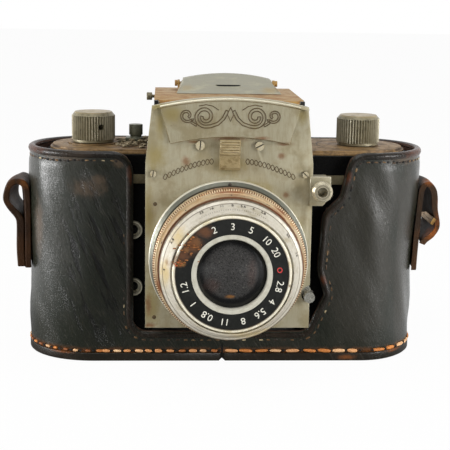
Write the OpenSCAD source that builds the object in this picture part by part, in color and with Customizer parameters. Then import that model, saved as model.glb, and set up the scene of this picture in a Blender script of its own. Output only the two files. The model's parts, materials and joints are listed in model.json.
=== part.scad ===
// Compact 35 mm single-lens reflex camera with a folding waist-level hood,
// standing in the lower half of its leather carrying case.
// X runs to the viewer's right, Y to the back, Z up. The origin is the mouth of
// the tripod socket, under the lens axis. All sizes are millimetres.

/* [Case] */
// Room between the camera and the case leather at each end
end_room = 3.35; // [3:0.05:6]
// Room between the camera and the case leather at the front and back
side_room = 1.4; // [1.4:0.05:3]
// Height of the case rim above the ground
case_h = 65.3; // [60:0.1:68]
// Thickness of the case leather
leather_t = 2.2; // [1.5:0.1:2.6]
// Thickness of the leather sole
sole_t = 2.6; // [2:0.1:4]
// Thickness of the stiffening board on the sole
board_t = 2.4; // [1.8:0.1:4]
// Distance of the case and body middle to the right of the lens axis
body_shift = 1.45; // [0:0.05:2]
// Left edge of the cut-out in the case front, from the lens axis
cut_left = 28.1; // [27:0.1:30]
// Waist of the scalloped right edge of the cut-out, from the lens axis
cut_right = 29.2; // [28.8:0.1:31]
// Height of the bottom edge of the cut-out
cut_bottom = 9.4; // [8:0.1:12]
// Radius of the small case roundings
cut_round = 3.0; // [2:0.1:4]
// Height of the strap tabs on the case ends
tab_h = 29.0; // [27:0.1:32]
// Distance by which the strap loops stand out from the case ends
loop_out = 8.0; // [7.8:0.1:9]
// Width of the strap tabs, front to back
tab_w = 14.0; // [10:0.5:18]
// Thickness of the strap leather
strap_t = 1.6; // [1.4:0.1:1.8]

/* [Case screw] */
// Radius of the screw head
screw_head_r = 8.6; // [7:0.1:10]
// Height of the screw head
screw_head_h = 3.2; // [2.6:0.1:3.6]
// Radius of the threaded stud that enters the camera
stud_r = 4.7; // [4:0.05:5]
// Radius of the tripod thread inside the screw
tripod_r = 3.175; // [2.9:0.005:3.3]
// Depth of the tripod thread
tripod_depth = 6.5; // [5:0.1:7]

/* [Body] */
// Depth of the camera body
body_depth = 33.8; // [33:0.1:35]
// Height of the body from its base to the seat of the top plate
body_h = 58.8; // [57:0.1:60]
// Thickness of the top plate
top_t = 1.4; // [1:0.1:2]
// Thickness of the leatherette on the body
skin_t = 0.5; // [0.3:0.05:0.7]
// Wall of the back cover
back_t = 1.2; // [0.9:0.1:1.4]
// Thickness of the side walls of the mirror box
box_wall = 3.9; // [3.6:0.1:4.4]
// Half width of the cavity behind the lens
cavity_half = 18.3; // [17.6:0.1:19.4]
// Distance from the lens axis back to the film
film_y = 8.2; // [7.8:0.1:8.6]
// Height of the lens axis above the ground
lens_z = 36.6; // [36:0.1:37.4]
// Radius of the take-up chamber
takeup_r = 12.2; // [11.8:0.1:12.6]
// Radius of the film cassette chamber
cassette_r = 13.0; // [12.9:0.1:13.4]
// Wall left between the film chambers and the round ends of the body
chamber_wall = 1.95; // [1.9:0.05:3]

/* [Front plate] */
// Distance from the body middle forward to the face of the front plate
plate_y = 37.2; // [36.6:0.1:37.8]
// Thickness of the front plate
plate_t = 1.0; // [0.8:0.1:1.2]
// Distance by which each side of the front plate leans in at the top
plate_lean = 1.8; // [0.8:0.1:3]
// Height of the lower edge of the front plate
plate_z0 = 15.6; // [15:0.1:17]
// Height of the top corners of the front plate
plate_z1 = 80.8; // [79:0.1:82]
// Rise of the arched top edge above its corners
plate_arch = 2.7; // [1.5:0.1:3.5]
// Height at which the sides of the plate start to lean in
shoulder_z = 64.5; // [62:0.1:68]
// Depth by which the pressed shield stands proud
shield_t = 0.9; // [0.5:0.1:1.2]

/* [Top fittings] */
// Radius of the two film knobs
knob_r = 6.77; // [6:0.01:7]
// Height of the two film knobs
knob_h = 9.3; // [8:0.1:11]
// Number of flutes round each knob
knob_flutes = 48; // [30:1:52]
// Radius of the knob shafts
shaft_r = 2.0; // [1.6:0.05:2.3]
// Radius of the frame counter dial
counter_r = 7.8; // [7.2:0.1:7.9]
// Radius of the speed selector disc
speed_r = 4.2; // [3.6:0.1:4.25]
// Radius of the speed selector knob
speed_knob_r = 2.15; // [1.8:0.05:2.4]
// Height of the speed selector knob
speed_knob_h = 4.9; // [4:0.1:6]

/* [Finder hood] */
// Front face of the finder frame, forward of the body middle
hood_front = 31.3; // [30.8:0.1:31.6]
// Rear face of the finder frame, behind the body middle
hood_back = 12.1; // [11.8:0.1:12.4]
// Height of the top of the finder frame
hood_z = 80.9; // [79.5:0.1:82]
// Sheet thickness of the finder frame and lid
sheet_t = 1.0; // [0.8:0.1:1.1]
// Thickness of the folding leaves
leaf_t = 0.6; // [0.4:0.05:0.7]
// Length of the rear leaf
rear_leaf_len = 16.0; // [13:0.1:16.5]
// Length of the side leaves
side_leaf_len = 14.5; // [12:0.1:15]
// Half width of the domed flap over the magnifier
dome_half = 16.1; // [15:0.1:17]
// Height of the domed flap above the lid
dome_h = 5.0; // [4.6:0.1:6]
// Radius of the magnifier glass
magnifier_r = 6.0; // [5:0.1:6.1]

/* [Lens] */
// Radius of the lens flange
flange_r = 23.1; // [22.6:0.05:23.4]
// Radius of the knurled focusing ring
focus_r = 21.7; // [21:0.05:22.2]
// Outer radius of the sliding lens head
head_r = 16.9; // [16.6:0.05:17]
// Outer radius of the black front ring
name_r = 15.6; // [15.3:0.05:15.7]
// Outer radius of the pale retaining ring
retainer_r = 11.2; // [10.8:0.05:11.6]
// Radius of the front glass
glass_r = 9.7; // [9:0.05:9.9]
// Distance from the body middle forward to the front of the lens
lens_y = 58.1; // [57.6:0.1:58.6]
// Forward travel of the lens head from infinity to its nearest distance
focus_travel = 5.6; // [3:0.1:6]
// Smallest radius of the opened iris
iris_r = 4.4; // [2:0.1:7]

/* [Fits] */
// Radial clearance of a shaft in its bore
run_fit = 0.08; // [0.04:0.01:0.1]
// Gap between parts that move past each other
move_gap = 0.3; // [0.2:0.05:0.4]
// Gap between seated parts of one assembly
seat_gap = 0.05; // [0.02:0.01:0.1]

/* [Hidden] */
$fn = 64;
big = 200;

// Fixed lens tube, between the sliding head and the focusing ring
tube_bore = head_r + move_gap;
tube_r = tube_bore + 0.4 * (focus_r - tube_bore);

// Widths, from the mirror box outwards
box_half = cavity_half + box_wall;
hood_half = box_half - 0.5;
plate_half = box_half + 0.9 + plate_t;
plate_top_half = plate_half - plate_lean;
sprocket_r = 5.6;
sprocket_room = 0.6;
sprocket_x = box_half - 2.6 + sprocket_r + sprocket_room;
sprocket_y = 1.4;
sprocket_axle_r = 1.2;
spool_rim_r = 9.0;
wind_x = sprocket_x + sprocket_r + spool_rim_r + sprocket_room;
body_len = 2 * (wind_x + takeup_r + chamber_wall + body_shift);
rewind_x = body_shift + body_len / 2 - chamber_wall - 0.3 - cassette_r;
speed_x = wind_x - counter_r - speed_r - 0.7;
case_len = body_len + 2 * (leather_t + end_room);
case_depth = body_depth + 2 * (leather_t + side_room);

// Heights, from the ground up
floor_z = sole_t + board_t;
base_z = floor_z + 0.2;
cast_z0 = base_z + back_t + 0.2;
cast_floor = 3.0;
cast_roof = 4.0;
body_top = base_z + body_h;
plate_top = body_top + top_t;
chamber_z0 = cast_z0 + cast_floor;
chamber_z1 = body_top - cast_roof;
split_y = film_y - 1.0;
bush_r = 6.4;
bush_h = 5.6;

// Case
case_half_depth = case_depth / 2;
case_x0 = body_shift - case_len / 2;
case_x1 = body_shift + case_len / 2;
head_z0 = 0.4;
plate_seat_z = head_z0 + screw_head_h + move_gap;
screw_plate_t = floor_z - plate_seat_z;
tab_z0 = 25.8;
tab_top = tab_z0 + tab_h;

// Trim band on the body front
trim_z0 = body_top - 8.8;
trim_z1 = body_top - 6.0;
trim_proud = 0.3;

// Front box and front plate
box_y = plate_y - plate_t - 1.0;
box_z0 = plate_z0 + 0.8;
return_y = 4.0;
shield_z0 = 70.2;
shield_half = 17.0;
shield_arch = 2.0;
plate_roll = 1.3;
slider_half = 2.95;
slider_z0 = 62.6;
slider_z1 = 71.4;
slider_t = 2.2;
catch_travel = 2.2;

// Sockets, release and catch
socket_x = box_half + 5.8;
socket_z = [lens_z - 13.6, lens_z + 4.3];
socket_r = 2.7;
release_x = plate_half + 2.3;
release_z = lens_z + 20.4;
release_head_r = 2.95;
release_neck_r = 1.8;
release_stem_r = 1.2;
release_travel = 2.0;
release_x0 = plate_half + 0.2;
release_x1 = plate_half + 5.2;
release_face = plate_y + 0.8;
release_back = plate_y - 10.2;
release_bore_back = plate_y - 7.2;
release_spring_len = 4.8;
cable_r = 1.45;
cable_depth = 4.0;
lens_catch_r = 1.6;
lens_catch_turn = 25.2;
lens_catch_x = (flange_r + lens_catch_r * 2) * cos(lens_catch_turn);
lens_catch_z = lens_z - (flange_r + lens_catch_r * 2) * sin(lens_catch_turn);
lens_catch_pivot = (tube_r + 2.25) * [cos(14.2), -sin(14.2)] + [0, lens_z];

// Mirror
mirror_y = film_y - 4.0;
mirror_z = lens_z + 13.8;
mirror_len = 33.0;
mirror_half = cavity_half - 0.9;
mirror_barrel_r = 1.5;
mirror_pin_r = 0.8;
screen_z = mirror_z + 2.4;
well_half = cavity_half + 1.7;
well_front = hood_front - 0.3;
well_back = split_y - 1.6;
screen_t = 1.5;
condenser_h = 9.05;
condenser_round = 52;

// Hood hinges
lid_hinge_y = hood_front + 0.85;
lid_hinge_z = hood_z + 0.3;
lid_knuckle_r = 0.8;
hood_pin_r = 0.45;
leaf_knuckle_r = 0.75;
rear_hinge_y = hood_back - sheet_t - leaf_knuckle_r - 0.2;
rear_hinge_z = hood_z - 1.6;
side_hinge_x = hood_half - sheet_t - leaf_knuckle_r - 0.2;
side_hinge_z = rear_hinge_z - 1.8;
magnifier_y = 0;
dome_x = 1.0;
dome_front = 11.0;
dome_ridge = 6.8;
dome_droop = 2.3;
dome_lean = 2.2;
dome_t = 0.7;
dome_pin_y = 8.0;
dome_pin_r = 0.5;
dome_tail = 1.7;
dome_back = dome_half - dome_lean + 0.4;
ear_x = dome_back + 0.55;
ear_t = 0.7;
lid_top = hood_z + 0.1 + sheet_t;
dome_pin_z = lid_top + dome_tail + 0.1;
latch_z = rear_hinge_z + 0.9;
latch_r = 1.2;
latch_stem_r = 0.5;
knob_cap = 2.0;
wind_knob_z = plate_top + 0.6;
rewind_knob_z = plate_top + 0.3;

// Lens stations, as distances forward of the body middle
flange_y = plate_y + 2.8;
focus_back = flange_y + 1.4;
focus_step = focus_back + 5.2;
focus_front = focus_step + 4.0;
focus_collar_r = focus_r - 1.1;
stop_back = focus_front + 0.6;
stop_step = stop_back + 2.4;
stop_r = focus_collar_r - 0.5;
cone_r = stop_r - 1.0;
head_bore = name_r - 0.6;
head_back = plate_y - 2.4;
name_y = lens_y - 0.2;
name_t = 1.0;
retainer_t = 2.9;
front_radius = 24.0;
rear_glass_r = 8.5;
mount_hole_r = tube_r + 0.25;

// Angle of one step of a round pattern
function step_angle(i, count) = 360 * i / count;

// Unit vector along v
function unit(v) = v / norm(v);

// Points of the arc of radius r that rounds the corner b between a and c
function corner_arc(a, b, c, r, n) =
    let (u = unit(a - b), v = unit(c - b))
    let (half = acos(u * v) / 2)
    let (m = b + unit(u + v) * r / sin(half))
    let (p = b + u * r / tan(half) - m, q = b + v * r / tan(half) - m)
    let (a0 = atan2(p[1], p[0]), d = atan2(q[1], q[0]) - a0)
    let (turn = d > 180 ? d - 360 : (d < -180 ? d + 360 : d))
    [for (i = [0:n]) m + r * [cos(a0 + turn * i / n), sin(a0 + turn * i / n)]];

// Outline through corners [x, y, radius], each rounded by its own radius
function rounded(pts, n = 6) =
    let (k = len(pts))
    [for (i = [0:k - 1])
        let (a = pts[(i + k - 1) % k], b = pts[i], c = pts[(i + 1) % k])
        each b[2] > 0
            ? corner_arc([a[0], a[1]], [b[0], b[1]], [c[0], c[1]], b[2], n)
            : [[b[0], b[1]]]];

// Flat outline with round ends, inset all round
module stadium(length, depth, inset = 0) {
    r = depth / 2 - inset;
    straight = length - depth;
    square([straight, 2 * r], center = true);
    for (s = [-1, 1]) translate([s * straight / 2, 0]) circle(r = r);
}

// Slab with the outline of the camera body
module body_slab(z0, z1, inset = 0) {
    translate([body_shift, 0, z0])
        linear_extrude(z1 - z0) stadium(body_len, body_depth, inset);
}

// Slab with the outline of the case
module case_slab(z0, z1, inset = 0) {
    translate([body_shift, 0, z0])
        linear_extrude(z1 - z0) stadium(case_len, case_depth, inset);
}

// Block between two corners
module block(a, b) {
    translate(a) cube(b - a);
}

// Prism of an X-Z outline between two distances forward of the body middle
module forward(near, far) {
    translate([0, -near, 0]) rotate([90, 0, 0])
        linear_extrude(far - near) children();
}

// Turned part about the lens axis, drawn as radius and distance forward
module lens_turn() {
    translate([0, 0, lens_z]) rotate([90, 0, 0])
        rotate_extrude($fn = 96) children();
}

// Rectangular turned section
module band(r0, r1, near, far) {
    translate([r0, near]) square([r1 - r0, far - near]);
}

// Rod along Z
module rod(x, y, z0, z1, r) {
    translate([x, y, z0]) cylinder(r = r, h = z1 - z0);
}

// Rod along Y between two distances forward of the body middle
module forward_rod(x, z, near, far, r) {
    translate([x, -near, z]) rotate([90, 0, 0]) cylinder(r = r, h = far - near);
}

// Rod along X
module cross_rod(x0, x1, y, z, r) {
    translate([x0, y, z]) rotate([0, 90, 0]) cylinder(r = r, h = x1 - x0);
}

// Outline cut from the case front, drawn in X and Z
module case_cut_outline() {
    polygon(rounded([
        [-cut_left - 20, case_h + 12, 0],
        [-cut_left - 20, case_h, 0],
        [-cut_left, case_h, 6.5],
        [-cut_left, cut_bottom, cut_round + 1],
        [cut_right - 3.6, cut_bottom, cut_round],
        [cut_right + 1.6, case_h - 44.1, 1.6],
        [cut_right - 0.8, case_h - 36.3, 8],
        [cut_right + 0.4, case_h - 18.6, 6],
        [cut_right + 5.6, case_h - 13.5, 3],
        [cut_right + 8.7, case_h, cut_round + 2.4],
        [cut_right + 22, case_h, 0],
        [cut_right + 22, case_h + 12, 0]
    ]));
}

module case_shell() {
    color("#2b2a29")
    difference() {
        case_slab(sole_t, case_h);
        case_slab(sole_t - 1, case_h + 1, leather_t);
        forward(case_half_depth - leather_t - 4, case_half_depth + 4)
            case_cut_outline();
    }
}

module case_sole() {
    color("#3a2c22")
    difference() {
        case_slab(0, sole_t);
        rod(0, 0, -1, sole_t + 1, screw_head_r + 0.9);
    }
}

module case_board() {
    color("#6b4a30")
    difference() {
        case_slab(sole_t, floor_z, leather_t + 0.1);
        rod(0, 0, sole_t - 1, floor_z + 1, screw_head_r + 2.4);
    }
}

// Escutcheon that holds the case screw by its collar
module screw_plate() {
    color("#a39a86")
    difference() {
        union() {
            rod(0, 0, plate_seat_z, floor_z, screw_head_r + 2.3);
            rod(0, 0, sole_t + 0.05, plate_seat_z, screw_head_r + 2.3);
        }
        rod(0, 0, plate_seat_z - 5, plate_seat_z, screw_head_r + move_gap);
        rod(0, 0, plate_seat_z - 1, floor_z + 1, stud_r + move_gap);
    }
}

module case_screw() {
    color("#b3ab98")
    difference() {
        union() {
            translate([0, 0, head_z0]) linear_extrude(screw_head_h)
                polygon([for (i = [0:71])
                    (screw_head_r - (i % 2) * 0.3)
                        * [cos(step_angle(i, 72)), sin(step_angle(i, 72))]]);
            rod(0, 0, head_z0, base_z + 5.4, stud_r);
        }
        rod(0, 0, head_z0 - 1, head_z0 + tripod_depth, tripod_r);
        block([-screw_head_r - 1, -0.8, head_z0 - 1],
              [-tripod_r - 1.2, 0.8, head_z0 + 1]);
        block([tripod_r + 1.2, -0.8, head_z0 - 1],
              [screw_head_r + 1, 0.8, head_z0 + 1]);
    }
}

// Corners of the left tab: distance out from the case end, height, rounding
tab_left_edge = [
    [0.15, tab_z0, 1.2], [2 * strap_t + 0.7, tab_z0, 1.4],
    [2 * strap_t + 0.7, tab_top - 11.4, 2.6], [loop_out, tab_top - 7.4, 1.8],
    [loop_out - 1.0, tab_top, 3.0], [0.15, tab_top, 1.6]
];
tab_left_eye = [
    [strap_t, tab_top - 10.8, 0.4], [strap_t + 1.7, tab_top - 10.8, 0.4],
    [loop_out - strap_t - 0.1, tab_top - 7.4, 1.0],
    [loop_out - strap_t - 0.5, tab_top - strap_t, 1.2],
    [strap_t, tab_top - strap_t, 0.6]
];

// Corners of the right tab, whose loop hangs deeper
tab_right_edge = [
    [0.15, tab_z0, 0.8], [strap_t + 0.8, tab_z0, 0.8],
    [strap_t + 0.8, tab_top - 21.6, 0.5], [loop_out - 3.6, tab_top - 19.0, 1.2],
    [loop_out - 2.2, tab_top - 15.4, 2.0], [loop_out - 3.0, tab_top - 7.0, 8],
    [loop_out - 4.4, tab_top, 1.8], [0.15, tab_top, 1.0]
];
tab_right_eye = [
    [strap_t + 0.2, tab_top - 17.6, 0.4], [loop_out - 4.6, tab_top - 17.0, 0.6],
    [loop_out - 2.2 - strap_t, tab_top - 14.8, 1.0],
    [loop_out - 3.0 - strap_t, tab_top - 7.6, 5],
    [loop_out - 4.2 - strap_t / 2, tab_top - strap_t, 0.4],
    [strap_t + 0.2, tab_top - strap_t, 0.3]
];

// Leather tab on a case end, folded back on itself into a loop
module strap_tab(side, end_x, edge, eye) {
    flip = side < 0 ? 1 : 0;
    translate([end_x, tab_w / 2, 0]) mirror([flip, 0, 0]) rotate([90, 0, 0])
        linear_extrude(tab_w) difference() {
            polygon(rounded(edge));
            polygon(rounded(eye));
        }
}

module strap_tab_left() {
    color("#4a2f20") strap_tab(-1, case_x0, tab_left_edge, tab_left_eye);
}

module strap_tab_right() {
    color("#3c2c24") strap_tab(1, case_x1, tab_right_edge, tab_right_eye);
}

// Wire ring in the eye of the right tab, which keeps the neck strap's end
module strap_ring_right() {
    wire_r = 0.5;
    reach = 0.55;
    half = tab_w / 2 + 1.2;
    color("#a8874a")
    translate([case_x1 + 2.88, 0, tab_top - 12.6]) rotate([0, -60, 0])
        difference() {
            block([-reach - wire_r, -half - wire_r, -wire_r],
                  [reach + wire_r, half + wire_r, wire_r]);
            block([-reach + wire_r, -half + wire_r, -2], [reach - wire_r, half - wire_r, 2]);
        }
}

// Front half of the body with both film chambers, the mirror box and the well
module body_casting() {
    core = skin_t + seat_gap;
    rear = back_t + move_gap;
    color("#8f8b80")
    difference() {
        union() {
            intersection() {
                body_slab(cast_z0, body_top, core);
                block([-big, -big, 0], [big, split_y, big]);
            }
            body_slab(chamber_z1, body_top, rear);
            block([-box_half, -box_y, box_z0], [box_half, 0, body_top]);
        }
        rod(-wind_x, 0, chamber_z0, chamber_z1, takeup_r);
        rod(rewind_x, 0, chamber_z0, chamber_z1, cassette_r);
        rod(-sprocket_x, sprocket_y, chamber_z0, chamber_z1, sprocket_r + sprocket_room);
        block([-cavity_half, -box_y + 1, box_z0 + 1.6],
              [cavity_half, split_y - 1.2, screen_z]);
        block([-well_half, -well_front, screen_z],
              [well_half, well_back, body_top + 1]);
        block([-18.4, 0, lens_z - 12.4], [18.4, big, lens_z + 12.4]);
        forward_rod(0, lens_z, box_y - 3, box_y + 3, mount_hole_r);
        cross_rod(-cavity_half - 1.4, cavity_half + 1.4, mirror_y, mirror_z,
                  mirror_pin_r + seat_gap);
        rod(-wind_x, 0, chamber_z1 - 1, body_top + 1, shaft_r + run_fit);
        rod(rewind_x, 0, chamber_z1 - 1, body_top + 1, shaft_r + run_fit);
        rod(0, 0, cast_z0 - 1, cast_z0 + 6, bush_r + seat_gap);
        rod(-sprocket_x, sprocket_y, chamber_z0 - 2, chamber_z0 + 1,
            sprocket_axle_r + run_fit);
        rod(-sprocket_x, sprocket_y, chamber_z1 - 1, chamber_z1 + 2,
            sprocket_axle_r + run_fit);
        rod(-speed_x, 0, body_top - 2.5, body_top + 1, 1.2 + run_fit);
    }
}

module top_plate() {
    color("#b79a6a")
    difference() {
        union() {
            body_slab(body_top, body_top + top_t / 2, 0.7);
            body_slab(body_top, plate_top, 1.4);
        }
        block([-box_half, -big, body_top - 1],
              [box_half, hood_back + 0.3, plate_top + 1]);
        rod(-wind_x, 0, body_top - 1, plate_top + 1, shaft_r + move_gap);
        rod(rewind_x, 0, body_top - 1, plate_top + 1, shaft_r + move_gap);
        rod(-wind_x, 0, plate_top - 0.4, plate_top + 1, counter_r + 0.25);
        rod(-speed_x, 0, body_top - 1, plate_top + 1, 1.2 + move_gap);
    }
}

// Band of the body outline on the front half, between two heights
module front_band(z0, z1, proud, inset) {
    difference() {
        body_slab(z0, z1, -proud);
        body_slab(z0 - 1, z1 + 1, inset);
        block([-big, split_y, 0], [big, big, big]);
        block([-box_half - 0.1, -big, 0], [box_half + 0.1, 0, big]);
    }
}

module body_covering() {
    color("#1d1b1a")
    difference() {
        union() {
            front_band(cast_z0 + 0.2, trim_z0, 0, skin_t);
            front_band(trim_z1, body_top - 0.2, 0, skin_t);
        }
        for (z = socket_z)
            forward_rod(-socket_x, z, 10, 30, socket_r + 0.1);
    }
}

module trim_strips() {
    color("#8d8674") front_band(trim_z0, trim_z1, trim_proud, skin_t);
}

// Outline of the front plate, drawn in X and Z
module plate_outline(inset = 0) {
    chord = plate_top_half;
    arch_r = (chord * chord + plate_arch * plate_arch) / (2 * plate_arch);
    top = plate_z1 + plate_arch;
    intersection() {
        polygon([
            [-plate_half + inset, plate_z0 + inset],
            [plate_half - inset, plate_z0 + inset],
            [plate_half - inset, shoulder_z],
            [plate_top_half - inset, plate_z1],
            [plate_top_half - inset, top],
            [-plate_top_half + inset, top],
            [-plate_top_half + inset, plate_z1],
            [-plate_half + inset, shoulder_z]
        ]);
        translate([0, top - inset - arch_r]) circle(r = arch_r, $fn = 180);
    }
}

// Raised shield at the top of the plate, with a hollowed lower edge
module shield_outline() {
    sag_r = (shield_half * shield_half + shield_arch * shield_arch)
        / (2 * shield_arch);
    difference() {
        intersection() {
            plate_outline(0.8);
            polygon([
                [-plate_top_half + 1.2, plate_z1 + 4],
                [-shield_half, shield_z0],
                [shield_half, shield_z0],
                [plate_top_half - 1.2, plate_z1 + 4]
            ]);
        }
        translate([0, shield_z0 + shield_arch - sag_r])
            circle(r = sag_r, $fn = 180);
    }
}

// Pressed front plate with side returns, shield and rolled top edge
module front_plate() {
    color("#a8a18c")
    difference() {
        union() {
            forward(plate_y - plate_t, plate_y) plate_outline();
            forward(plate_y, plate_y + shield_t) shield_outline();
            forward(plate_y, plate_y + plate_roll)
                difference() {
                    plate_outline();
                    plate_outline(1.0);
                    translate([-plate_half - 1, plate_z0 - 1])
                        square([2 * plate_half + 2, plate_z1 - plate_z0]);
                }
            forward(plate_y - return_y, plate_y)
                difference() {
                    plate_outline();
                    plate_outline(plate_t);
                    translate([-plate_half - 1, 0])
                        square([2 * plate_half + 2, plate_z0 + 2]);
                    translate([-plate_half - 1, plate_z1 - 1.5])
                        square([2 * plate_half + 2, 10]);
                    translate([0, lens_catch_z - 3.4])
                        square([plate_half + 1, 9.8]);
                }
        }
        forward_rod(0, lens_z, plate_y - 3, plate_y + 3, mount_hole_r);
        for (p = plate_screw_at)
            forward_rod(p[0], p[1], plate_y - 3, plate_y + 3, p[2] * 0.5 + seat_gap);
        block([-1.1, -plate_y - 3, slider_z0 + 1.2],
              [1.1, -plate_y + 3, slider_z1 - 1.6]);
        forward_rod(lens_catch_x + 0.6, lens_catch_z + 0.4, plate_y - 3, plate_y + 3,
                    lens_catch_r + 1.1);
    }
}

// Slotted cheese-head screw in the front plate
module slotted_screw(x, z, r, turn) {
    difference() {
        union() {
            forward_rod(x, z, plate_y + seat_gap, plate_y + 0.9, r);
            forward_rod(x, z, plate_y - plate_t - 0.9, plate_y + 0.5, r * 0.5);
        }
        translate([x, -plate_y - 0.9, z]) rotate([0, turn, 0])
            cube([0.35, 0.7, 2 * r + 1], center = true);
    }
}

plate_screw_at = [[-8.5, 69.6, 1.3, 5], [8.5, 69.6, 1.3, 62],
                  [-plate_half + 2.2, 61.4, 0.9, 8], [plate_half - 2.2, 61.4, 0.9, -48]];

module plate_screws() {
    color("#c5bfae")
    for (s = plate_screw_at) slotted_screw(s[0], s[1], s[2], s[3]);
}

// Coaxial flash sockets with centre pins
module flash_sockets() {
    face = body_depth / 2;
    color("#b9b3a2")
    for (z = socket_z) {
        difference() {
            forward_rod(-socket_x, z, face - skin_t, face + 1.2, socket_r);
            forward_rod(-socket_x, z, face - skin_t + 0.4, face + 2, socket_r - 0.8);
        }
        forward_rod(-socket_x, z, face - skin_t, face + 0.9, 0.7);
    }
}

module tripod_bush() {
    color("#8a8272")
    difference() {
        rod(0, 0, cast_z0, cast_z0 + bush_h, bush_r);
        rod(0, 0, cast_z0 - 1, cast_z0 + bush_h + 1, stud_r + move_gap);
    }
}

// Gate with its two polished film rails
module film_gate() {
    color("#77736a")
    difference() {
        union() {
            block([-20.6, split_y, lens_z - 17.5], [20.6, film_y - 0.3, lens_z + 17.5]);
            for (s = [-1, 1])
                block([-20.6, split_y, lens_z + s * 14.6 - 1],
                      [20.6, film_y, lens_z + s * 14.6 + 1]);
        }
        block([-18, 0, lens_z - 12], [18, big, lens_z + 12]);
    }
}

module finder_frame() {
    inner = hood_half - sheet_t;
    color("#9d927a")
    difference() {
        union() {
            block([-hood_half, -hood_front, body_top], [hood_half, hood_back, hood_z]);
            for (s = [-1, 1])
                block([s < 0 ? -hood_half : hood_half - 1.2, -lid_hinge_y - 0.9,
                       lid_hinge_z - 1.6],
                      [s < 0 ? -hood_half + 1.2 : hood_half, -hood_front,
                       lid_hinge_z + 0.7]);
        }
        block([-inner, -hood_front + sheet_t, body_top - 1],
              [inner, hood_back - sheet_t, hood_z + 1]);
        cross_rod(-big, big, -lid_hinge_y, lid_hinge_z, hood_pin_r + seat_gap);
        cross_rod(-big, big, rear_hinge_y, rear_hinge_z, hood_pin_r + seat_gap);
        for (s = [-1, 1])
            forward_rod(s * side_hinge_x, side_hinge_z, -20, 40,
                        hood_pin_r + seat_gap);
        cross_rod(-hood_half - 1, 0, 0, latch_z, latch_stem_r + run_fit);
    }
}

module focusing_screen() {
    color("#c9cfc8")
    block([-well_half + 0.2, -well_front + 0.2, screen_z],
          [well_half - 0.2, well_back - 0.2, screen_z + screen_t]);
}

// Plano-convex condenser over the screen
module condenser() {
    mid_y = (well_back - well_front) / 2;
    z0 = screen_z + screen_t + seat_gap;
    color("#d7e2e4")
    intersection() {
        block([-well_half + 0.2, -well_front + 0.2, z0],
              [well_half - 0.2, well_back - 0.2, z0 + condenser_h]);
        translate([0, mid_y, z0 + condenser_h - condenser_round])
            sphere(r = condenser_round, $fn = 96);
    }
}

module finder_pins() {
    color("#9a958a") {
        cross_rod(-hood_half, hood_half, -lid_hinge_y, lid_hinge_z, hood_pin_r);
        cross_rod(-hood_half, hood_half, rear_hinge_y, rear_hinge_z, hood_pin_r);
        for (s = [-1, 1])
            forward_rod(s * side_hinge_x, side_hinge_z, -hood_back, hood_front,
                        hood_pin_r);
    }
}

// Flange, bayonet spigot and fixed focusing tube
module lens_mount() {
    color("#aaa597")
    lens_turn() polygon([
        [tube_bore, plate_y - 2.6], [tube_r, plate_y - 2.6], [tube_r, plate_y],
        [flange_r, plate_y], [flange_r, flange_y - 0.4],
        [flange_r - 1.2, flange_y + 0.6], [tube_r, flange_y + 0.6],
        [tube_r, focus_front - 0.5], [tube_bore, focus_front - 0.5]
    ]);
}

// Release barrel on the flank of the mirror box, with its bracket plate in front
module release_housing() {
    wall = release_neck_r + 1.0;
    z0 = release_z - release_head_r - 1.7;
    z1 = release_z + release_head_r + 0.85;
    color("#a59c86")
    difference() {
        union() {
            block([box_half, -plate_y + return_y + 0.2, release_z - wall],
                  [release_x + wall, -release_back, release_z + wall]);
            block([release_x0, -release_face, release_z - wall],
                  [release_x + wall, -release_back, release_z + wall]);
            forward(release_face - 1.4, release_face)
                polygon([[release_x0, z0], [release_x1 - 2.2, z0], [release_x1, z0 + 2.6],
                         [release_x1, z1], [release_x0, z1]]);
            block([plate_half - 0.8, -release_face, z0],
                  [release_x0 + 0.1, -plate_y - seat_gap, z1]);
        }
        forward_rod(release_x, release_z, release_bore_back, release_face + 1,
                    release_neck_r + run_fit);
        forward_rod(release_x, release_z, release_back - 2, release_bore_back + 1,
                    release_stem_r + run_fit);
    }
}

// Serrated speed scale under the selector knob
module speed_disc() {
    teeth = 30;
    color("#8c8069")
    difference() {
        translate([-speed_x, 0, plate_top]) linear_extrude(0.7)
            polygon([for (i = [0:2 * teeth - 1])
                (speed_r - (i % 2) * 0.35)
                    * [cos(step_angle(i, 2 * teeth)), sin(step_angle(i, 2 * teeth))]]);
        rod(-speed_x, 0, plate_top - 1, plate_top + 2, 1.2 + move_gap);
    }
}

module mirror_pin() {
    color("#8f8b82")
    cross_rod(-cavity_half - 1.3, cavity_half + 1.3, mirror_y, mirror_z, mirror_pin_r);
}

// Back and base of the body in one shell, which slides off downwards
module back_cover() {
    color("#23211f")
    difference() {
        union() {
            difference() {
                body_slab(base_z, body_top - 0.2);
                body_slab(base_z - 1, body_top + 1, back_t);
                block([-big, -big, 0], [big, split_y + 0.2, big]);
            }
            body_slab(base_z, base_z + back_t);
        }
        rod(0, 0, base_z - 1, base_z + back_t + 1, stud_r + 1.2);
    }
}

module pressure_plate() {
    color("#4b4a48")
    forward(-film_y - 1.1, -film_y - 0.3)
        translate([0, lens_z])
            polygon(rounded([[-21, -15.6, 2], [21, -15.6, 2], [21, 15.4, 2],
                             [-21, 15.4, 2]], 4));
}

// Two bowed leaf springs between the back cover and the pressure plate
module pressure_spring() {
    reach = body_depth / 2 - back_t - film_y - 1.1;
    leaf = 0.3;
    bow = 11;
    r = (bow * bow + reach * reach) / (2 * reach);
    y_far = film_y + 1.1;
    color("#a09a8c")
    for (z = [lens_z - 8.6, lens_z + 5.4])
        translate([0, y_far + r, z]) linear_extrude(5) intersection() {
            difference() {
                circle(r = r, $fn = 96);
                circle(r = r - leaf, $fn = 96);
            }
            translate([-bow, -r]) square([2 * bow, reach]);
        }
}

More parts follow.
